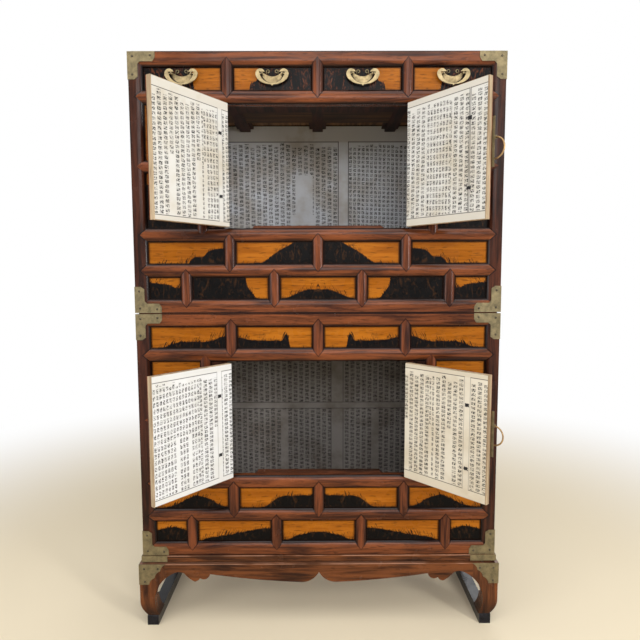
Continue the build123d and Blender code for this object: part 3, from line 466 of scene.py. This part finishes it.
bare_across = bare_wood("bare_boards", "x", rgb(58, 36, 22), rgb(124, 84, 52))
bare_deep = bare_wood("bare_drawers", "y", rgb(92, 62, 38), rgb(156, 112, 72))
ceiling_wood = bare_wood("bare_ceiling", "x", rgb(46, 29, 14), rgb(100, 66, 32))
runner_wood = bare_wood("bare_runners", "y", rgb(34, 18, 12), rgb(76, 42, 28))
wear("floor_boards", bare_across)
wear("dust_panels", ceiling_wood)
for name in ("drawer_runners", "drawer_guides"):
    wear(name, runner_wood)
for number in range(1, 5):
    wear(f"drawer_{number}_box", bare_deep)
print("four bare woods")

# %% [markdown]
# ## Black-figured panels
# The small panels are sawn from wood whose heart is stained black. Pairs are opened like a
# book, so the right half of the chest mirrors the left, and the dark heart looks like hills with
# grass. A picture could carry the figure, but it would have one size only. Here each row has a
# line drawn on a curve node, from the outer end to the middle, and a place is black
# below it. Fine noise, leaning outwards, adds the blades of grass.

# %% The lines of the hills
ROW_TALL, DOORWAY_TALL = 0.053, 0.288
STRAIGHT = ((0.408, 0.2265), (0.1965, 0.015))
STAGGERED = ((0.408, 0.33225), (0.30225, 0.12075), (0.09075, 0.0))


def row(bottom, tall, spans, *lines):
    """A row of panels: its bottom, its height, where its uprights start, and its hill line.

    Each line runs over one panel, from 0 at its outer end to 1 at its inner end, and its
    heights are shares of the height of the row.
    """
    points = []
    for (outer, inner), line in zip(spans, lines):
        points += [(outer + (inner - outer) * along, height) for along, height in line]
    return bottom, tall, PITCH_HALF if spans is STAGGERED else 0.0, points


ROWS = [
    row(LOWER + 0.032, ROW_TALL, STAGGERED,
        ((0, 0.50), (0.5, 0.68), (1, 0.50)),
        ((0, 0), (0.1, 0.12), (0.5, 0.35), (0.8, 0.55), (1, 0.62)),
        ((0, 0.02), (0.4, 0.25), (0.8, 0.40), (1, 0.42))),
    row(LOWER + 0.117, ROW_TALL, STRAIGHT,
        ((0, 0), (0.2, 0.10), (0.45, 0.50), (0.55, 0.62), (0.7, 0.50), (0.9, 0.15), (1, 0.05)),
        ((0, 0), (0.3, 0.03), (0.45, 0.35), (0.6, 0.58), (1, 0.62))),
    row(LOWER + 0.522, ROW_TALL, STRAIGHT,
        ((0, 0), (0.15, 0.05), (0.4, 0.30), (0.75, 0.32), (1, 0.55)),
        ((0, 0.50), (0.2, 0.38), (0.58, 0.36), (0.65, 0.62), (0.72, 0), (1, 0))),
    row(UPPER + 0.032, ROW_TALL, STAGGERED,
        ((0, 0.75), (0.5, 0.70), (1, 0.50)),
        ((0, 1.3), (0.62, 1.3), (0.72, 0.60), (0.80, 0.22), (0.88, 0), (1, 0)),
        ((0, 0.02), (0.35, 0.20), (0.7, 0.42), (1, 0.46))),
    row(UPPER + 0.117, ROW_TALL, STRAIGHT,
        ((0, 0), (0.5, 0), (0.6, 0.30), (0.72, 0.35), (0.8, 0.60), (1, 0.72)),
        ((0, 0), (0.3, 0.05), (0.5, 0.45), (0.7, 0.85), (0.85, 1.10), (1, 1.20))),
    row(UPPER + 0.522, ROW_TALL, STRAIGHT,
        ((0, 1.3), (0.56, 1.3), (0.70, -0.3), (1, -0.3)),
        ((0, -0.3), (0.17, -0.2), (0.22, 0.30), (0.30, 0.45), (0.35, 1.3), (1, 1.3))),
    row(LOWER + 0.202, DOORWAY_TALL, STRAIGHT, ((0, 0.36), (1, 0.36))),
    row(UPPER + 0.202, DOORWAY_TALL, STRAIGHT, ((0, 0.36), (1, 0.36))),
]
print(sum(len(points) for _, _, _, points in ROWS), "points draw", len(ROWS), "rows of hills")

# %% Panels
DRAWERS_FROM = 1.305
# EDGE_GRIME_AND_SHADE darkens a panel's edges with grime and painted shade
EDGE_GRIME_AND_SHADE, PANEL_SHINE = rgb(22, 12, 8), 0.08


def edge_dirt_and_shade(tree, to_edge):
    """Grime, with painted shade, within a few millimetres of a panel's edge."""
    return step(tree, to_edge, 0.0005, 0.0045, 0.8, 0)


def figure(tree, distance, up, place, rows):
    """How much black heart shows at a place, and how dark a panel's edge is. Grime and painted shade darken
    it.
    """
    lean = calc(tree, "MULTIPLY_ADD", up, 0.45, distance)
    blades = cloud(tree, joined(tree, lean, 0, calc(tree, "MULTIPLY", up, 0.08)), 620, 1)
    meadow = step(tree, cloud(tree, place, 30, 1), 0.42, 0.60, 0.25, 1)
    grass = product(tree, step(tree, blades, 0.47, 0.68, 0, 0.018), meadow)
    ripple = calc(tree, "MULTIPLY", calc(tree, "SUBTRACT", cloud(tree, place, 60, 3), 0.5), 0.008)
    black, edge = 0.0, 0.0
    for bottom, tall, first, line in rows:
        crest = drawn(tree, distance, line, POST_EDGE)
        crest = calc(tree, "ADD", calc(tree, "MULTIPLY", crest, tall), ripple)
        height = calc(tree, "SUBTRACT", up, bottom)
        soft = step(tree, calc(tree, "SUBTRACT", calc(tree, "ADD", crest, grass), height), -0.0008, 0.0012)
        here = between(tree, height, -0.006, tall + 0.006)
        to_upright = calc(tree, "PINGPONG", calc(tree, "SUBTRACT", distance, first), 2 * PITCH_HALF)
        to_upright = calc(tree, "SUBTRACT", nearest(
            tree, to_upright, calc(tree, "SUBTRACT", 2 * PITCH_HALF, to_upright)), 0.015)
        to_post = calc(tree, "SUBTRACT", POST_EDGE, distance)
        to_edge = nearest(tree, height, calc(tree, "SUBTRACT", tall, height), to_upright, to_post)
        black = calc(tree, "ADD", black, product(tree, soft, here))
        # the edge darkening is grime with painted shade
        edge = calc(tree, "ADD", edge, product(tree, edge_dirt_and_shade(tree, to_edge), here))
    return black, edge


def panel_surface(tree, shader, place, black, edge):
    """Amber wood, black where the heart shows and browner in the drawers, under lacquer."""
    up = parts_of(tree, place)[2]
    amber, pores = wood_colour(tree, place, "x", rgb(134, 74, 12), rgb(162, 96, 23))
    streak = cloud(tree, stretched(tree, place, (1, 1, 0.45)), 62, 4, 0.6, 2.4)
    in_drawers = calc(tree, "GREATER_THAN", up, DRAWERS_FROM)
    brown = blend_colour(tree, in_drawers, rgb(58, 36, 19), rgb(94, 50, 29))
    heart = blend_colour(tree, step(tree, streak, 0.50, 0.76), rgb(9, 7, 7), brown)
    colour = blend_colour(tree, black, amber, heart)
    colour = blend_colour(tree, edge, colour, EDGE_GRIME_AND_SHADE)
    put(tree, shader.inputs["Base Color"], colour)
    put(tree, shader.inputs["Roughness"], step(tree, cloud(tree, place, 24, 2), 0.3, 0.7, 0.22, 0.38))
    put(tree, shader.inputs["Normal"], bumped(tree, pores, 0.0001, 0.2))
    shader.inputs["Specular IOR Level"].default_value = PANEL_SHINE


panel_finish, tree, shader, place = finish_called("figured_panels")
x, y, z = parts_of(tree, place)
distance = calc(tree, "ABSOLUTE", x)
mirrored = joined(tree, distance, y, z)
panel_surface(tree, shader, mirrored, *figure(tree, distance, z, mirrored, ROWS))
for tier in ("lower", "upper"):
    wear(tier + "_front_panels", panel_finish)
for number in range(1, 5):
    wear(f"drawer_{number}_front", panel_finish)
print("panels and drawer fronts figured, with", len(panel_finish.node_tree.nodes), "nodes")

# %% [markdown]
# ## Doors
# A door stands open, so its own left and right no longer lie along X. A Mapping node turns each
# place back to where it would be with the door shut, measured from the hinge. Then the grain can
# follow the stiles and rails. The face and the moulded edge are lacquered, the outer rim and the
# back are bare wood.

# %% Door finishes
OPEN = {"upper_left": 123.4, "upper_right": 126.8, "lower_left": 130.0, "lower_right": 132.7}
HINGE_X, HINGE_Y = 0.223, -0.1745
DOOR_W = 0.221
DOOR_LOW = {"lower": LOWER + 0.20375, "upper": UPPER + 0.20375}
DOOR_TALL = 0.2845
DOOR_FRAME_W = 0.034


def shut_place(tree, place, door):
    """A place on an open door, from its hinge, as if the door were shut."""
    side = -1 if door.endswith("left") else 1
    node = tree.nodes.new("ShaderNodeMapping")
    node.vector_type = "TEXTURE"
    put(tree, node.inputs["Vector"], place)
    node.inputs["Location"].default_value = (side * HINGE_X, HINGE_Y, 0)
    node.inputs["Rotation"].default_value = (0, 0, side * math.radians(OPEN[door]))
    return node.outputs[0]


def door_frame_finish(door):
    """Stiles with upright grain, rails with level grain, bare behind the face."""
    material, tree, shader, place = finish_called(door + "_frame_wood")
    shut = shut_place(tree, place, door)
    x, y, z = parts_of(tree, shut)
    across = calc(tree, "ABSOLUTE", x)
    up = calc(tree, "SUBTRACT", z, DOOR_LOW[door[:5]])
    to_stile = calc(tree, "MINIMUM", across, calc(tree, "SUBTRACT", DOOR_W, across))
    to_rail = calc(tree, "MINIMUM", up, calc(tree, "SUBTRACT", DOOR_TALL, up))
    is_rail = calc(tree, "GREATER_THAN", to_stile, to_rail)
    stile, pores = wood_colour(tree, shut, "z", RED_DARK, RED_LIGHT)
    rail, _ = wood_colour(tree, shut, "x", RED_DARK, RED_LIGHT)
    bare, _ = wood_colour(tree, shut, "z", rgb(140, 118, 92), rgb(186, 166, 138))
    face = blend_colour(tree, is_rail, stile, rail)
    rim = step(tree, nearest(tree, to_stile, to_rail), 0.0006, 0.0010, 1, 0)
    rim = product(tree, rim, calc(tree, "GREATER_THAN", y, 0.006))
    raw = calc(tree, "MAXIMUM", rim, step(tree, y, 0.0155, 0.0162))
    put(tree, shader.inputs["Base Color"], blend_colour(tree, raw, face, bare))
    put(tree, shader.inputs["Roughness"], step(tree, raw, 0, 1, 0.24, 0.7))
    put(tree, shader.inputs["Normal"], bumped(tree, pores, 0.0002, 0.25))
    shader.inputs["Specular IOR Level"].default_value = LACQUER_SHINE
    return material


def door_panel_finish(door):
    """One large figured panel with a single dark hill."""
    material, tree, shader, place = finish_called(door + "_panel_wood")
    shut = shut_place(tree, place, door)
    x, y, z = parts_of(tree, shut)
    across = calc(tree, "ABSOLUTE", x)
    mirrored = joined(tree, across, y, z)
    bottom, tall = DOOR_LOW[door[:5]] + DOOR_FRAME_W, DOOR_TALL - 2 * DOOR_FRAME_W
    line = ((0, 0.24), (0.2, 0.30), (0.4, 0.37), (0.6, 0.36), (0.8, 0.26), (1, 0.20))
    hills = [row(bottom, tall, ((DOOR_FRAME_W, DOOR_W - DOOR_FRAME_W),), line)]
    black, _ = figure(tree, across, z, mirrored, hills)
    to_edge = nearest(
        tree, calc(tree, "SUBTRACT", across, DOOR_FRAME_W),
        calc(tree, "SUBTRACT", DOOR_W - DOOR_FRAME_W, across),
        calc(tree, "SUBTRACT", z, bottom), calc(tree, "SUBTRACT", bottom + tall, z),
    )
    panel_surface(tree, shader, mirrored, black, edge_dirt_and_shade(tree, to_edge))
    return material


for door in OPEN:
    tier, side = door.split("_")
    wear(f"{tier}_{side}_door_frame", door_frame_finish(door))
    wear(f"{tier}_{side}_door_panel", door_panel_finish(door))
print("four doors finished")

# %% [markdown]
# ## Old brass
# The fittings are cast brass gone dull and greenish, brighter where hands rub it. Where a drawer's
# plate passes behind its handle, the gap lies in shade, so the plate is painted black at its rim:
# painted shade.

# %% Brass and nail iron
HANDLE_STEP, HANDLE_Z = 0.10575, 1.3395
PLATE_ROUND_UP, PLATE_ROUND_R = 0.0146, 0.0264
RIM_SHADE = rgb(14, 11, 9)


def plate_rim_shade(tree, place):
    """How near a place is to the round edge of a drawer's plate, 1 at the edge, for painted shade there."""
    x, _, z = parts_of(tree, place)
    distance = calc(tree, "ABSOLUTE", x)
    aside = nearest(tree, off(tree, distance, HANDLE_STEP), off(tree, distance, 3 * HANDLE_STEP))
    rise = calc(tree, "SUBTRACT", z, HANDLE_Z + PLATE_ROUND_UP)
    squares = calc(tree, "ADD", product(tree, aside, aside), product(tree, rise, rise))
    from_middle = calc(tree, "SQRT", squares)
    return step(tree, from_middle, PLATE_ROUND_R - 0.0030, PLATE_ROUND_R - 0.0014, 0, 0.9)


def old_brass(name, dull, rubbed, rough, rim=None):
    """Tarnished brass: soft clouds of dull and rubbed metal, finely pitted."""
    material, tree, shader, place = finish_called(name)
    clouds = step(tree, cloud(tree, place, 70, 5, 0.7), 0.25, 0.72)
    pits = cloud(tree, place, 900, 2)
    colour = blend_colour(tree, clouds, dull, rubbed)
    if rim is not None:
        # painted shade along the rim of a drawer's plate, behind its handle
        colour = blend_colour(tree, rim(tree, place), colour, RIM_SHADE)
    put(tree, shader.inputs["Base Color"], colour)
    put(tree, shader.inputs["Roughness"], calc(tree, "ADD", rough, calc(tree, "MULTIPLY", clouds, -0.10)))
    put(tree, shader.inputs["Normal"], bumped(tree, pits, 0.0002, 0.3))
    shader.inputs["Metallic"].default_value = 0.6
    return material


brass_finish = old_brass("old_brass", rgb(88, 79, 56), rgb(128, 114, 82), 0.58)
handle_finish = old_brass("handle_brass", rgb(116, 102, 72), rgb(162, 144, 106), 0.50)
plate_finish = old_brass("plate_brass", rgb(104, 90, 62), rgb(166, 146, 106), 0.52, plate_rim_shade)
# the pull rings are lighter brass: rubbed by hands, and painted lighter as a highlight
ring_finish = old_brass("rubbed_and_highlit_brass", rgb(136, 106, 68), rgb(176, 142, 96), 0.42)
nail_finish = old_brass("nail_heads", rgb(44, 38, 30), rgb(84, 74, 56), 0.50)
for name in ("corner_brackets", "fixed_hinge_leaves", "hinge_pins", "stand_brass"):
    wear(name, brass_finish)
for door in OPEN:
    tier, side = door.split("_")
    wear(f"{tier}_{side}_door_brass", brass_finish)
for tier in ("lower", "upper"):
    wear(f"{tier}_right_door_ring", ring_finish)
for number in range(1, 5):
    wear(f"drawer_{number}_bail", handle_finish)
    wear(f"drawer_{number}_backplate", plate_finish)
print("brass on", sum("brass" in o.data.materials[0].name for o in nodes.values()), "nodes")

# %% [markdown]
# ## Sheets pasted inside
# Old paper lines the doors and the back. A sheet is cut as a thin slab from a one-square grid,
# and gets a UV map in metres, so that the ruling has the same size on every sheet. The marks on
# it are only dabs of ink in ruled columns: blots of noise, each kept inside its own small cell.

# %% Cutting a sheet
SHEET_T = 0.0006


def pasted_sheet(name, body, corner, across, up, out, size, material):
    """A sheet of a size, from a corner, lying across and up, with its face turned out."""
    width, height = size
    shape = bmesh.new()
    grid = bmesh.ops.create_grid(shape, x_segments=1, y_segments=1, size=0.5)
    bmesh.ops.translate(shape, verts=grid["verts"], vec=(0.5, 0.5, 0))
    bmesh.ops.scale(shape, verts=grid["verts"], vec=(width, height, 1))
    thick = bmesh.ops.extrude_face_region(shape, geom=shape.faces[:])
    lifted = [v for v in thick["geom"] if isinstance(v, bmesh.types.BMVert)]
    bmesh.ops.translate(shape, verts=lifted, vec=(0, 0, SHEET_T))
    bmesh.ops.recalc_face_normals(shape, faces=shape.faces[:])
    uv = shape.loops.layers.uv.new("sheet")
    for face in shape.faces:
        for loop in face.loops:
            loop[uv].uv = (loop.vert.co.x, loop.vert.co.y)
    place = Matrix((across, up, out)).transposed().to_4x4()
    place.translation = corner
    bmesh.ops.transform(shape, matrix=place, verts=shape.verts[:])
    if place.determinant() < 0:
        bmesh.ops.reverse_faces(shape, faces=shape.faces[:])
    mesh = bpy.data.meshes.new(name)
    shape.to_mesh(mesh)
    shape.free()
    mesh.materials.append(material)
    sheet = bpy.data.objects.new(name, mesh)
    bpy.context.scene.collection.objects.link(sheet)
    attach(sheet, body)
    return sheet


print("a sheet is", SHEET_T * 1000, "mm thick")

# %% [markdown]
# ## The look of a sheet
# The paper is cream with old stains, ruled with a frame, and filled with rows of small dark
# marks. Nobody has to be able to read them: each mark is a blot of noise cut off by the edges of
# its own cell, so it has the size and darkness of a brush stroke and spells nothing. Some
# columns stop short, and plain rectangles are left where sheets join or nothing was put down.

# %% Paper and ink
def cells(tree, u, v, start, column, line, drift):
    """Columns counted from a start, and a mask that is 1 in the middle of each cell.

    Each column is shifted up from the one before by the drift, a share of a line.
    """
    columns = calc(tree, "DIVIDE", calc(tree, "SUBTRACT", u, start), column)
    shift = calc(tree, "MULTIPLY", calc(tree, "FLOOR", columns), drift)
    lines = calc(tree, "ADD", calc(tree, "DIVIDE", v, line), shift)
    aside = off(tree, calc(tree, "FRACT", columns), 0.5)
    above = off(tree, calc(tree, "FRACT", lines), 0.5)
    return columns, product(tree, step(tree, aside, 0.29, 0.38, 1, 0), step(tree, above, 0.31, 0.42, 1, 0))


INK, MARK_HALF = rgb(24, 22, 24), (0.0056, 0.0042)


def inked_sheet(
        name, size, grid, rules, plain, paper_pair, seed, fine=None, marks_at=(), short=0.88, heavy=0.0005):
    """Ruled paper with columns of ink dabs.

    The grid is how wide a column is and how tall a line. Rules are the margins left, right,
    bottom and top. Plain rectangles are left, right, bottom, top and how dark their outline is.
    Fine is a stretch of narrower columns: from, to, column and line. Marks are small dark
    blocks on a seam, short is how seldom a column stops half way, and heavy is half the width of
    a ruled line.
    """
    material, tree, shader, _ = finish_called(name)
    uv = tree.nodes.new("ShaderNodeUVMap")
    uv.uv_map = "sheet"
    u, v, _ = parts_of(tree, uv.outputs[0])
    left, right, bottom, top = rules
    flat = joined(tree, u, v, seed)
    within = nearest(
        tree, calc(tree, "SUBTRACT", u, left), calc(tree, "SUBTRACT", size[0] - right, u),
        calc(tree, "SUBTRACT", v, bottom), calc(tree, "SUBTRACT", size[1] - top, v),
    )
    margin = step(tree, within, -0.002, 0.004, 0.55, 0)
    stain = calc(tree, "MAXIMUM", step(tree, cloud(tree, flat, 9, 4, 0.6), 0.40, 0.72), margin)
    paper = blend_colour(tree, stain, *paper_pair)
    fibres = cloud(tree, flat, 700, 2)
    rule = step(tree, calc(tree, "ABSOLUTE", within), heavy, heavy + 0.0006, 0.85, 0)

    columns, cell = cells(tree, u, v, left, *grid, 0.37)
    if fine is not None:
        start, end, narrow, low_line = fine
        in_fine = between(tree, u, start, end)
        fine_columns, fine_cell = cells(tree, u, v, start, narrow, low_line, 0.05)
        columns = calc(tree, "MULTIPLY_ADD", calc(tree, "SUBTRACT", fine_columns, columns), in_fine, columns)
        cell = calc(tree, "MULTIPLY_ADD", calc(tree, "SUBTRACT", fine_cell, cell), in_fine, cell)
    blot = step(tree, cloud(tree, flat, 390, 3, 0.7, 0.8), 0.46, 0.52)

    pick = tree.nodes.new("ShaderNodeTexWhiteNoise")
    pick.noise_dimensions = "2D"
    put(tree, pick.inputs["Vector"], joined(tree, calc(tree, "FLOOR", columns), seed, 0))
    chance = pick.outputs["Value"]
    foot = product(tree, calc(tree, "GREATER_THAN", chance, short), size[1] * 0.45)
    head = calc(tree, "MULTIPLY", calc(tree, "FRACT", calc(tree, "MULTIPLY", chance, 7.3)), -0.014)
    ink = product(
        tree, blot, cell, calc(tree, "GREATER_THAN", v, calc(tree, "ADD", bottom, foot)),
        calc(tree, "LESS_THAN", v, calc(tree, "ADD", head, size[1] - top - 0.003)),
        calc(tree, "GREATER_THAN", within, 0.002),
        step(tree, cloud(tree, flat, 34, 2), 0.30, 0.55, 0.75, 1.0),
    )
    for low, high, low_v, high_v, dark in plain:
        inside = nearest(
            tree, calc(tree, "SUBTRACT", u, low), calc(tree, "SUBTRACT", high, u),
            calc(tree, "SUBTRACT", v, low_v), calc(tree, "SUBTRACT", high_v, v),
        )
        outside = calc(tree, "LESS_THAN", inside, 0.0)
        outline = step(tree, calc(tree, "ABSOLUTE", inside), heavy, heavy + 0.0005, dark, 0)
        ink = product(tree, ink, outside)
        rule = calc(tree, "MAXIMUM", product(tree, rule, outside), outline)
    rule = product(tree, rule, calc(tree, "GREATER_THAN", within, -heavy - 0.0006))
    for along, up in marks_at:
        block = nearest(
            tree, calc(tree, "SUBTRACT", MARK_HALF[0], off(tree, u, along)),
            calc(tree, "SUBTRACT", MARK_HALF[1], off(tree, v, up)))
        rough = calc(tree, "MULTIPLY", calc(tree, "SUBTRACT", cloud(tree, flat, 420, 1), 0.5), 0.005)
        ink = calc(tree, "MAXIMUM", ink, step(tree, calc(tree, "ADD", block, rough), 0.0, 0.0008))
    colour = blend_colour(tree, calc(tree, "MAXIMUM", ink, rule), paper, INK)
    put(tree, shader.inputs["Base Color"], colour)
    put(tree, shader.inputs["Normal"], bumped(tree, fibres, 0.0002, 0.3))
    shader.inputs["Roughness"].default_value = 0.88
    return material


DOOR_SHEET = (0.219, 0.2825)
CREAM = rgb(213, 212, 208), rgb(197, 189, 173)
WHITE = rgb(223, 224, 226), rgb(211, 210, 206)
BEIGE = rgb(216, 209, 194), rgb(196, 184, 162)
GREY = rgb(222, 224, 228), rgb(188, 180, 170)
# the lower back sheet: older, darker paper, with painted shade of the dim lower tier
AGED_AND_SHADED = rgb(140, 134, 128), rgb(108, 98, 88)
print("door sheets are", [round(v * 1000) for v in DOOR_SHEET], "mm")

# %% [markdown]
# ## Sheets on the doors
# A door stands open, so its sheet is laid along the open door: from the hinge outwards, straight
# up, and facing away from the wood. It rides on its door and swings with it.

# %% Sheets on the doors
WHOLE = (0.0, 1.0)
EDGELESS = -0.004
MARK_UP = (0.210, 0.067)
# for each door: paper, bottom and top margin, seam from, to and darkness, and any narrow columns
DOOR_SHEETS = {
    "upper_left": (CREAM, 0.010, 0.019, (0.020, 0.034, 0.55), (0.034, 0.080, 0.0092, 0.0125)),
    "upper_right": (CREAM, 0.016, 0.013, (0.1755, 0.1785, 0.95), (0.060, 0.128, 0.0088, 0.0140)),
    "lower_left": (WHITE, 0.012, 0.014, (0.031, 0.045, 0.45), (0.096, 0.219, 0.0082, 0.0140)),
    "lower_right": (BEIGE, 0.020, 0.010, (0.163, 0.178, 0.45), (0.070, 0.085, 0.0075, 0.0120)),
}
DOOR_BACK = 0.0165
for index, door in enumerate(OPEN):
    tier, side = door.split("_")
    hand = -1 if side == "left" else 1
    angle = math.radians(OPEN[door]) * hand
    along = Vector((-hand * math.cos(angle), -hand * math.sin(angle), 0))
    inward = Vector((-math.sin(angle), math.cos(angle), 0))
    start = Vector((hand * HINGE_X, HINGE_Y, DOOR_LOW[tier] + 0.001))
    paper, bottom, top, (low, high, dark), fine = DOOR_SHEETS[door]
    marks = [((low + high) / 2, up) for up in MARK_UP]
    finish = inked_sheet(
        door + "_sheet", DOOR_SHEET, (0.0152, 0.0098), (EDGELESS, EDGELESS, bottom, top),
        [(low, high, *WHOLE, dark)], paper, 3.1 + 7.7 * index, fine, marks,
    )
    pasted_sheet(
        door + "_lining", f"{tier}_{side}_door", start + inward * DOOR_BACK, along, Vector((0, 0, 1)), inward,
        DOOR_SHEET, finish,
    )
print("four door sheets")

# %% [markdown]
# ## Sheets on the back
# Each back wall has one big sheet. The upper one has a plain strip in the middle and narrower
# columns right of it, and stops short of the ceiling. The lower one was put together from four,
# with plain strips between them.

# %% Sheets on the back
BACK_FACE, BACK_W = 0.161, 0.812
# for each tier: base, height, top margin, paper, plain places and any narrow columns
BACKS = {
    "lower": (
        LOWER, 0.518, 0.024, AGED_AND_SHADED, ((0.445, 0.482, *WHOLE, 0.6), (0.0, BACK_W, 0.253, 0.272, 0.6)), None),
    "upper": (
        UPPER, 0.490, 0.045, GREY, ((0.467, 0.497, *WHOLE, 0.9), (0.339, 0.391, 0.202, 0.349, 0)),
        (0.497, BACK_W, 0.0125, 0.0123)),
}
for index, (tier, (base, tall, top, paper, plain, fine)) in enumerate(BACKS.items()):
    finish = inked_sheet(
        tier + "_back_sheet", (BACK_W, tall), (0.0175, 0.0123), (0.012, 0.012, 0.012, top),
        plain, paper, 41.0 + 9.3 * index, fine, short=0.94, heavy=0.0009,
    )
    corner = Vector((-BACK_W / 2, BACK_FACE, base + 0.036))
    pasted_sheet(
        tier + "_back_lining", "root", corner, Vector((1, 0, 0)), Vector((0, 0, 1)), Vector((0, -1, 0)),
        (BACK_W, tall), finish,
    )
print("two back sheets")

# %% [markdown]
# ## Nails
# Each bracket is held by three nails with low domed heads. One head is a sphere pressed flat
# and copied to every place, so all of them are one light mesh.

# %% Nail heads
NAIL_R, NAIL_RISE = 0.0027, 0.0014


def nail_heads(name, body, places):
    """Low domes at places, each turned to face out of its surface."""
    shape = bmesh.new()
    for place, out in places:
        press = Matrix.Diagonal((NAIL_R, NAIL_R, NAIL_RISE, 1))
        turn = Vector(out).to_track_quat("Z", "Y").to_matrix().to_4x4()
        bmesh.ops.create_uvsphere(
            shape, u_segments=12, v_segments=6, radius=1, matrix=Matrix.Translation(place) @ turn @ press
        )
    mesh = bpy.data.meshes.new(name)
    shape.to_mesh(mesh)
    shape.free()
    mesh.shade_smooth()
    mesh.materials.append(nail_finish)
    nails = bpy.data.objects.new(name, mesh)
    bpy.context.scene.collection.objects.link(nails)
    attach(nails, body)
    return nails


HALF, FRONT, TIER_H, PLATE = 0.440, -0.175, 0.607, 0.0012
spots = []
for base in (LOWER, UPPER):
    for z, up in ((base, 1), (base + TIER_H, -1)):
        for side in (-1, 1):
            for a, b in ((0.011, 0.011), (0.052, 0.009), (0.010, 0.052)):
                spots.append(((side * (HALF - a), FRONT - PLATE, z + up * b), (0, -1, 0)))
                spots.append(((side * (HALF + PLATE), FRONT + a, z + up * b), (side, 0, 0)))
LEG_X, LEG_Y, LEG_PLATE_Z = 0.449, 0.184, 0.162
for side in (-1, 1):
    for a, b in ((0.012, 0.012), (0.046, 0.012), (0.013, 0.045)):
        spots.append(((side * (LEG_X - a), -LEG_Y - PLATE, LEG_PLATE_Z - b), (0, -1, 0)))
        spots.append(((side * (LEG_X + PLATE), a - LEG_Y, LEG_PLATE_Z - b), (side, 0, 0)))
nail_heads("bracket_nails", "root", spots)
print(len(spots), "nail heads")

# %% [markdown]
# ## Curls on the drawer handles
# Above each crescent plate two little curls roll inwards on short stems. A curl is a small
# circle drawn straight up and then spun most of the way round a point: the same moves as
# straightening a wire and bending it round a peg.

# %% Curls
PLATE_Y = -0.166
WIRE_R, CURL_R, STEM = 0.0013, 0.0034, 0.0055
CURL_ASIDE, CURL_DEEP, CURL_UP, CURL_TURN = 0.0104, 0.0008, 0.0167, math.radians(285)


def curls(number, middle):
    """The pair of curls of one drawer's plate."""
    shape = bmesh.new()
    for side in (-1, 1):
        peg = Vector((middle + side * CURL_ASIDE, PLATE_Y + CURL_DEEP, HANDLE_Z + CURL_UP))
        foot = Matrix.Translation(peg + Vector((side * CURL_R, 0, -STEM)))
        ring = bmesh.ops.create_circle(shape, cap_ends=True, segments=8, radius=WIRE_R, matrix=foot)
        disc = [face for face in shape.faces if face.verts[0] in ring["verts"]]
        raised = bmesh.ops.extrude_face_region(shape, geom=disc, use_keep_orig=True)["geom"]
        top = [v for v in raised if isinstance(v, bmesh.types.BMVert)]
        bmesh.ops.translate(shape, vec=(0, 0, STEM), verts=top)
        bmesh.ops.spin(shape, geom=raised, cent=peg, axis=(0, 1, 0), angle=-side * CURL_TURN, steps=16)
    bmesh.ops.remove_doubles(shape, verts=shape.verts[:], dist=0.00005)
    bmesh.ops.recalc_face_normals(shape, faces=shape.faces[:])
    mesh = bpy.data.meshes.new(f"drawer_{number}_curls")
    shape.to_mesh(mesh)
    shape.free()
    mesh.shade_smooth()
    mesh.materials.append(brass_finish)
    pair = bpy.data.objects.new(f"drawer_{number}_curls", mesh)
    bpy.context.scene.collection.objects.link(pair)
    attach(pair, f"drawer_{number}")


for number in range(1, 5):
    curls(number, (2 * number - 5) * HANDLE_STEP)
print("eight curls")

# %% [markdown]
# ## The room's colours
# The floor is a warm beige near the chest and runs out into plain white further off, so no
# horizon cuts behind the furniture. That white is only for what the camera, a mirror or a glass
# sees, so it throws no light on the chest. The world lights everything softly, and is white in
# the same three cases.

# %% Floor finish and world
floor_finish, tree, shader, place = finish_called("pale_floor")
put(tree, shader.inputs["Base Color"], rgb(226, 212, 184))
shader.inputs["Roughness"].default_value = 0.7
reach = tree.nodes.new("ShaderNodeVectorMath")
reach.operation = "LENGTH"
put(tree, reach.inputs[0], place)
white = tree.nodes.new("ShaderNodeEmission")
white.inputs["Color"].default_value = (1, 1, 1, 1)
mixer = tree.nodes.new("ShaderNodeMixShader")
put(tree, mixer.inputs[0], product(tree, step(tree, reach.outputs["Value"], 0.9, 2.4), seen_rays(tree)))
put(tree, mixer.inputs[1], shader.outputs[0])
put(tree, mixer.inputs[2], white.outputs[0])
put(tree, tree.nodes["Material Output"].inputs["Surface"], mixer.outputs[0])
floor.data.materials.append(floor_finish)

world = bpy.data.worlds.new("room")
bpy.context.scene.world = world
world.use_nodes = True
tree = world.node_tree
backdrop = tree.nodes["Background"]
backdrop.inputs["Color"].default_value = (1, 1, 1, 1)
put(tree, backdrop.inputs["Strength"], step(tree, seen_rays(tree), 0, 1, 0.40, 1.0))
print("world lit")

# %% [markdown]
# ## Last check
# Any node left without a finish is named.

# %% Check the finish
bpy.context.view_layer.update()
bare = sorted(name for name, o in nodes.items() if not o.data.materials or not o.data.materials[0].node_tree)
print("nodes without a finish:", bare)
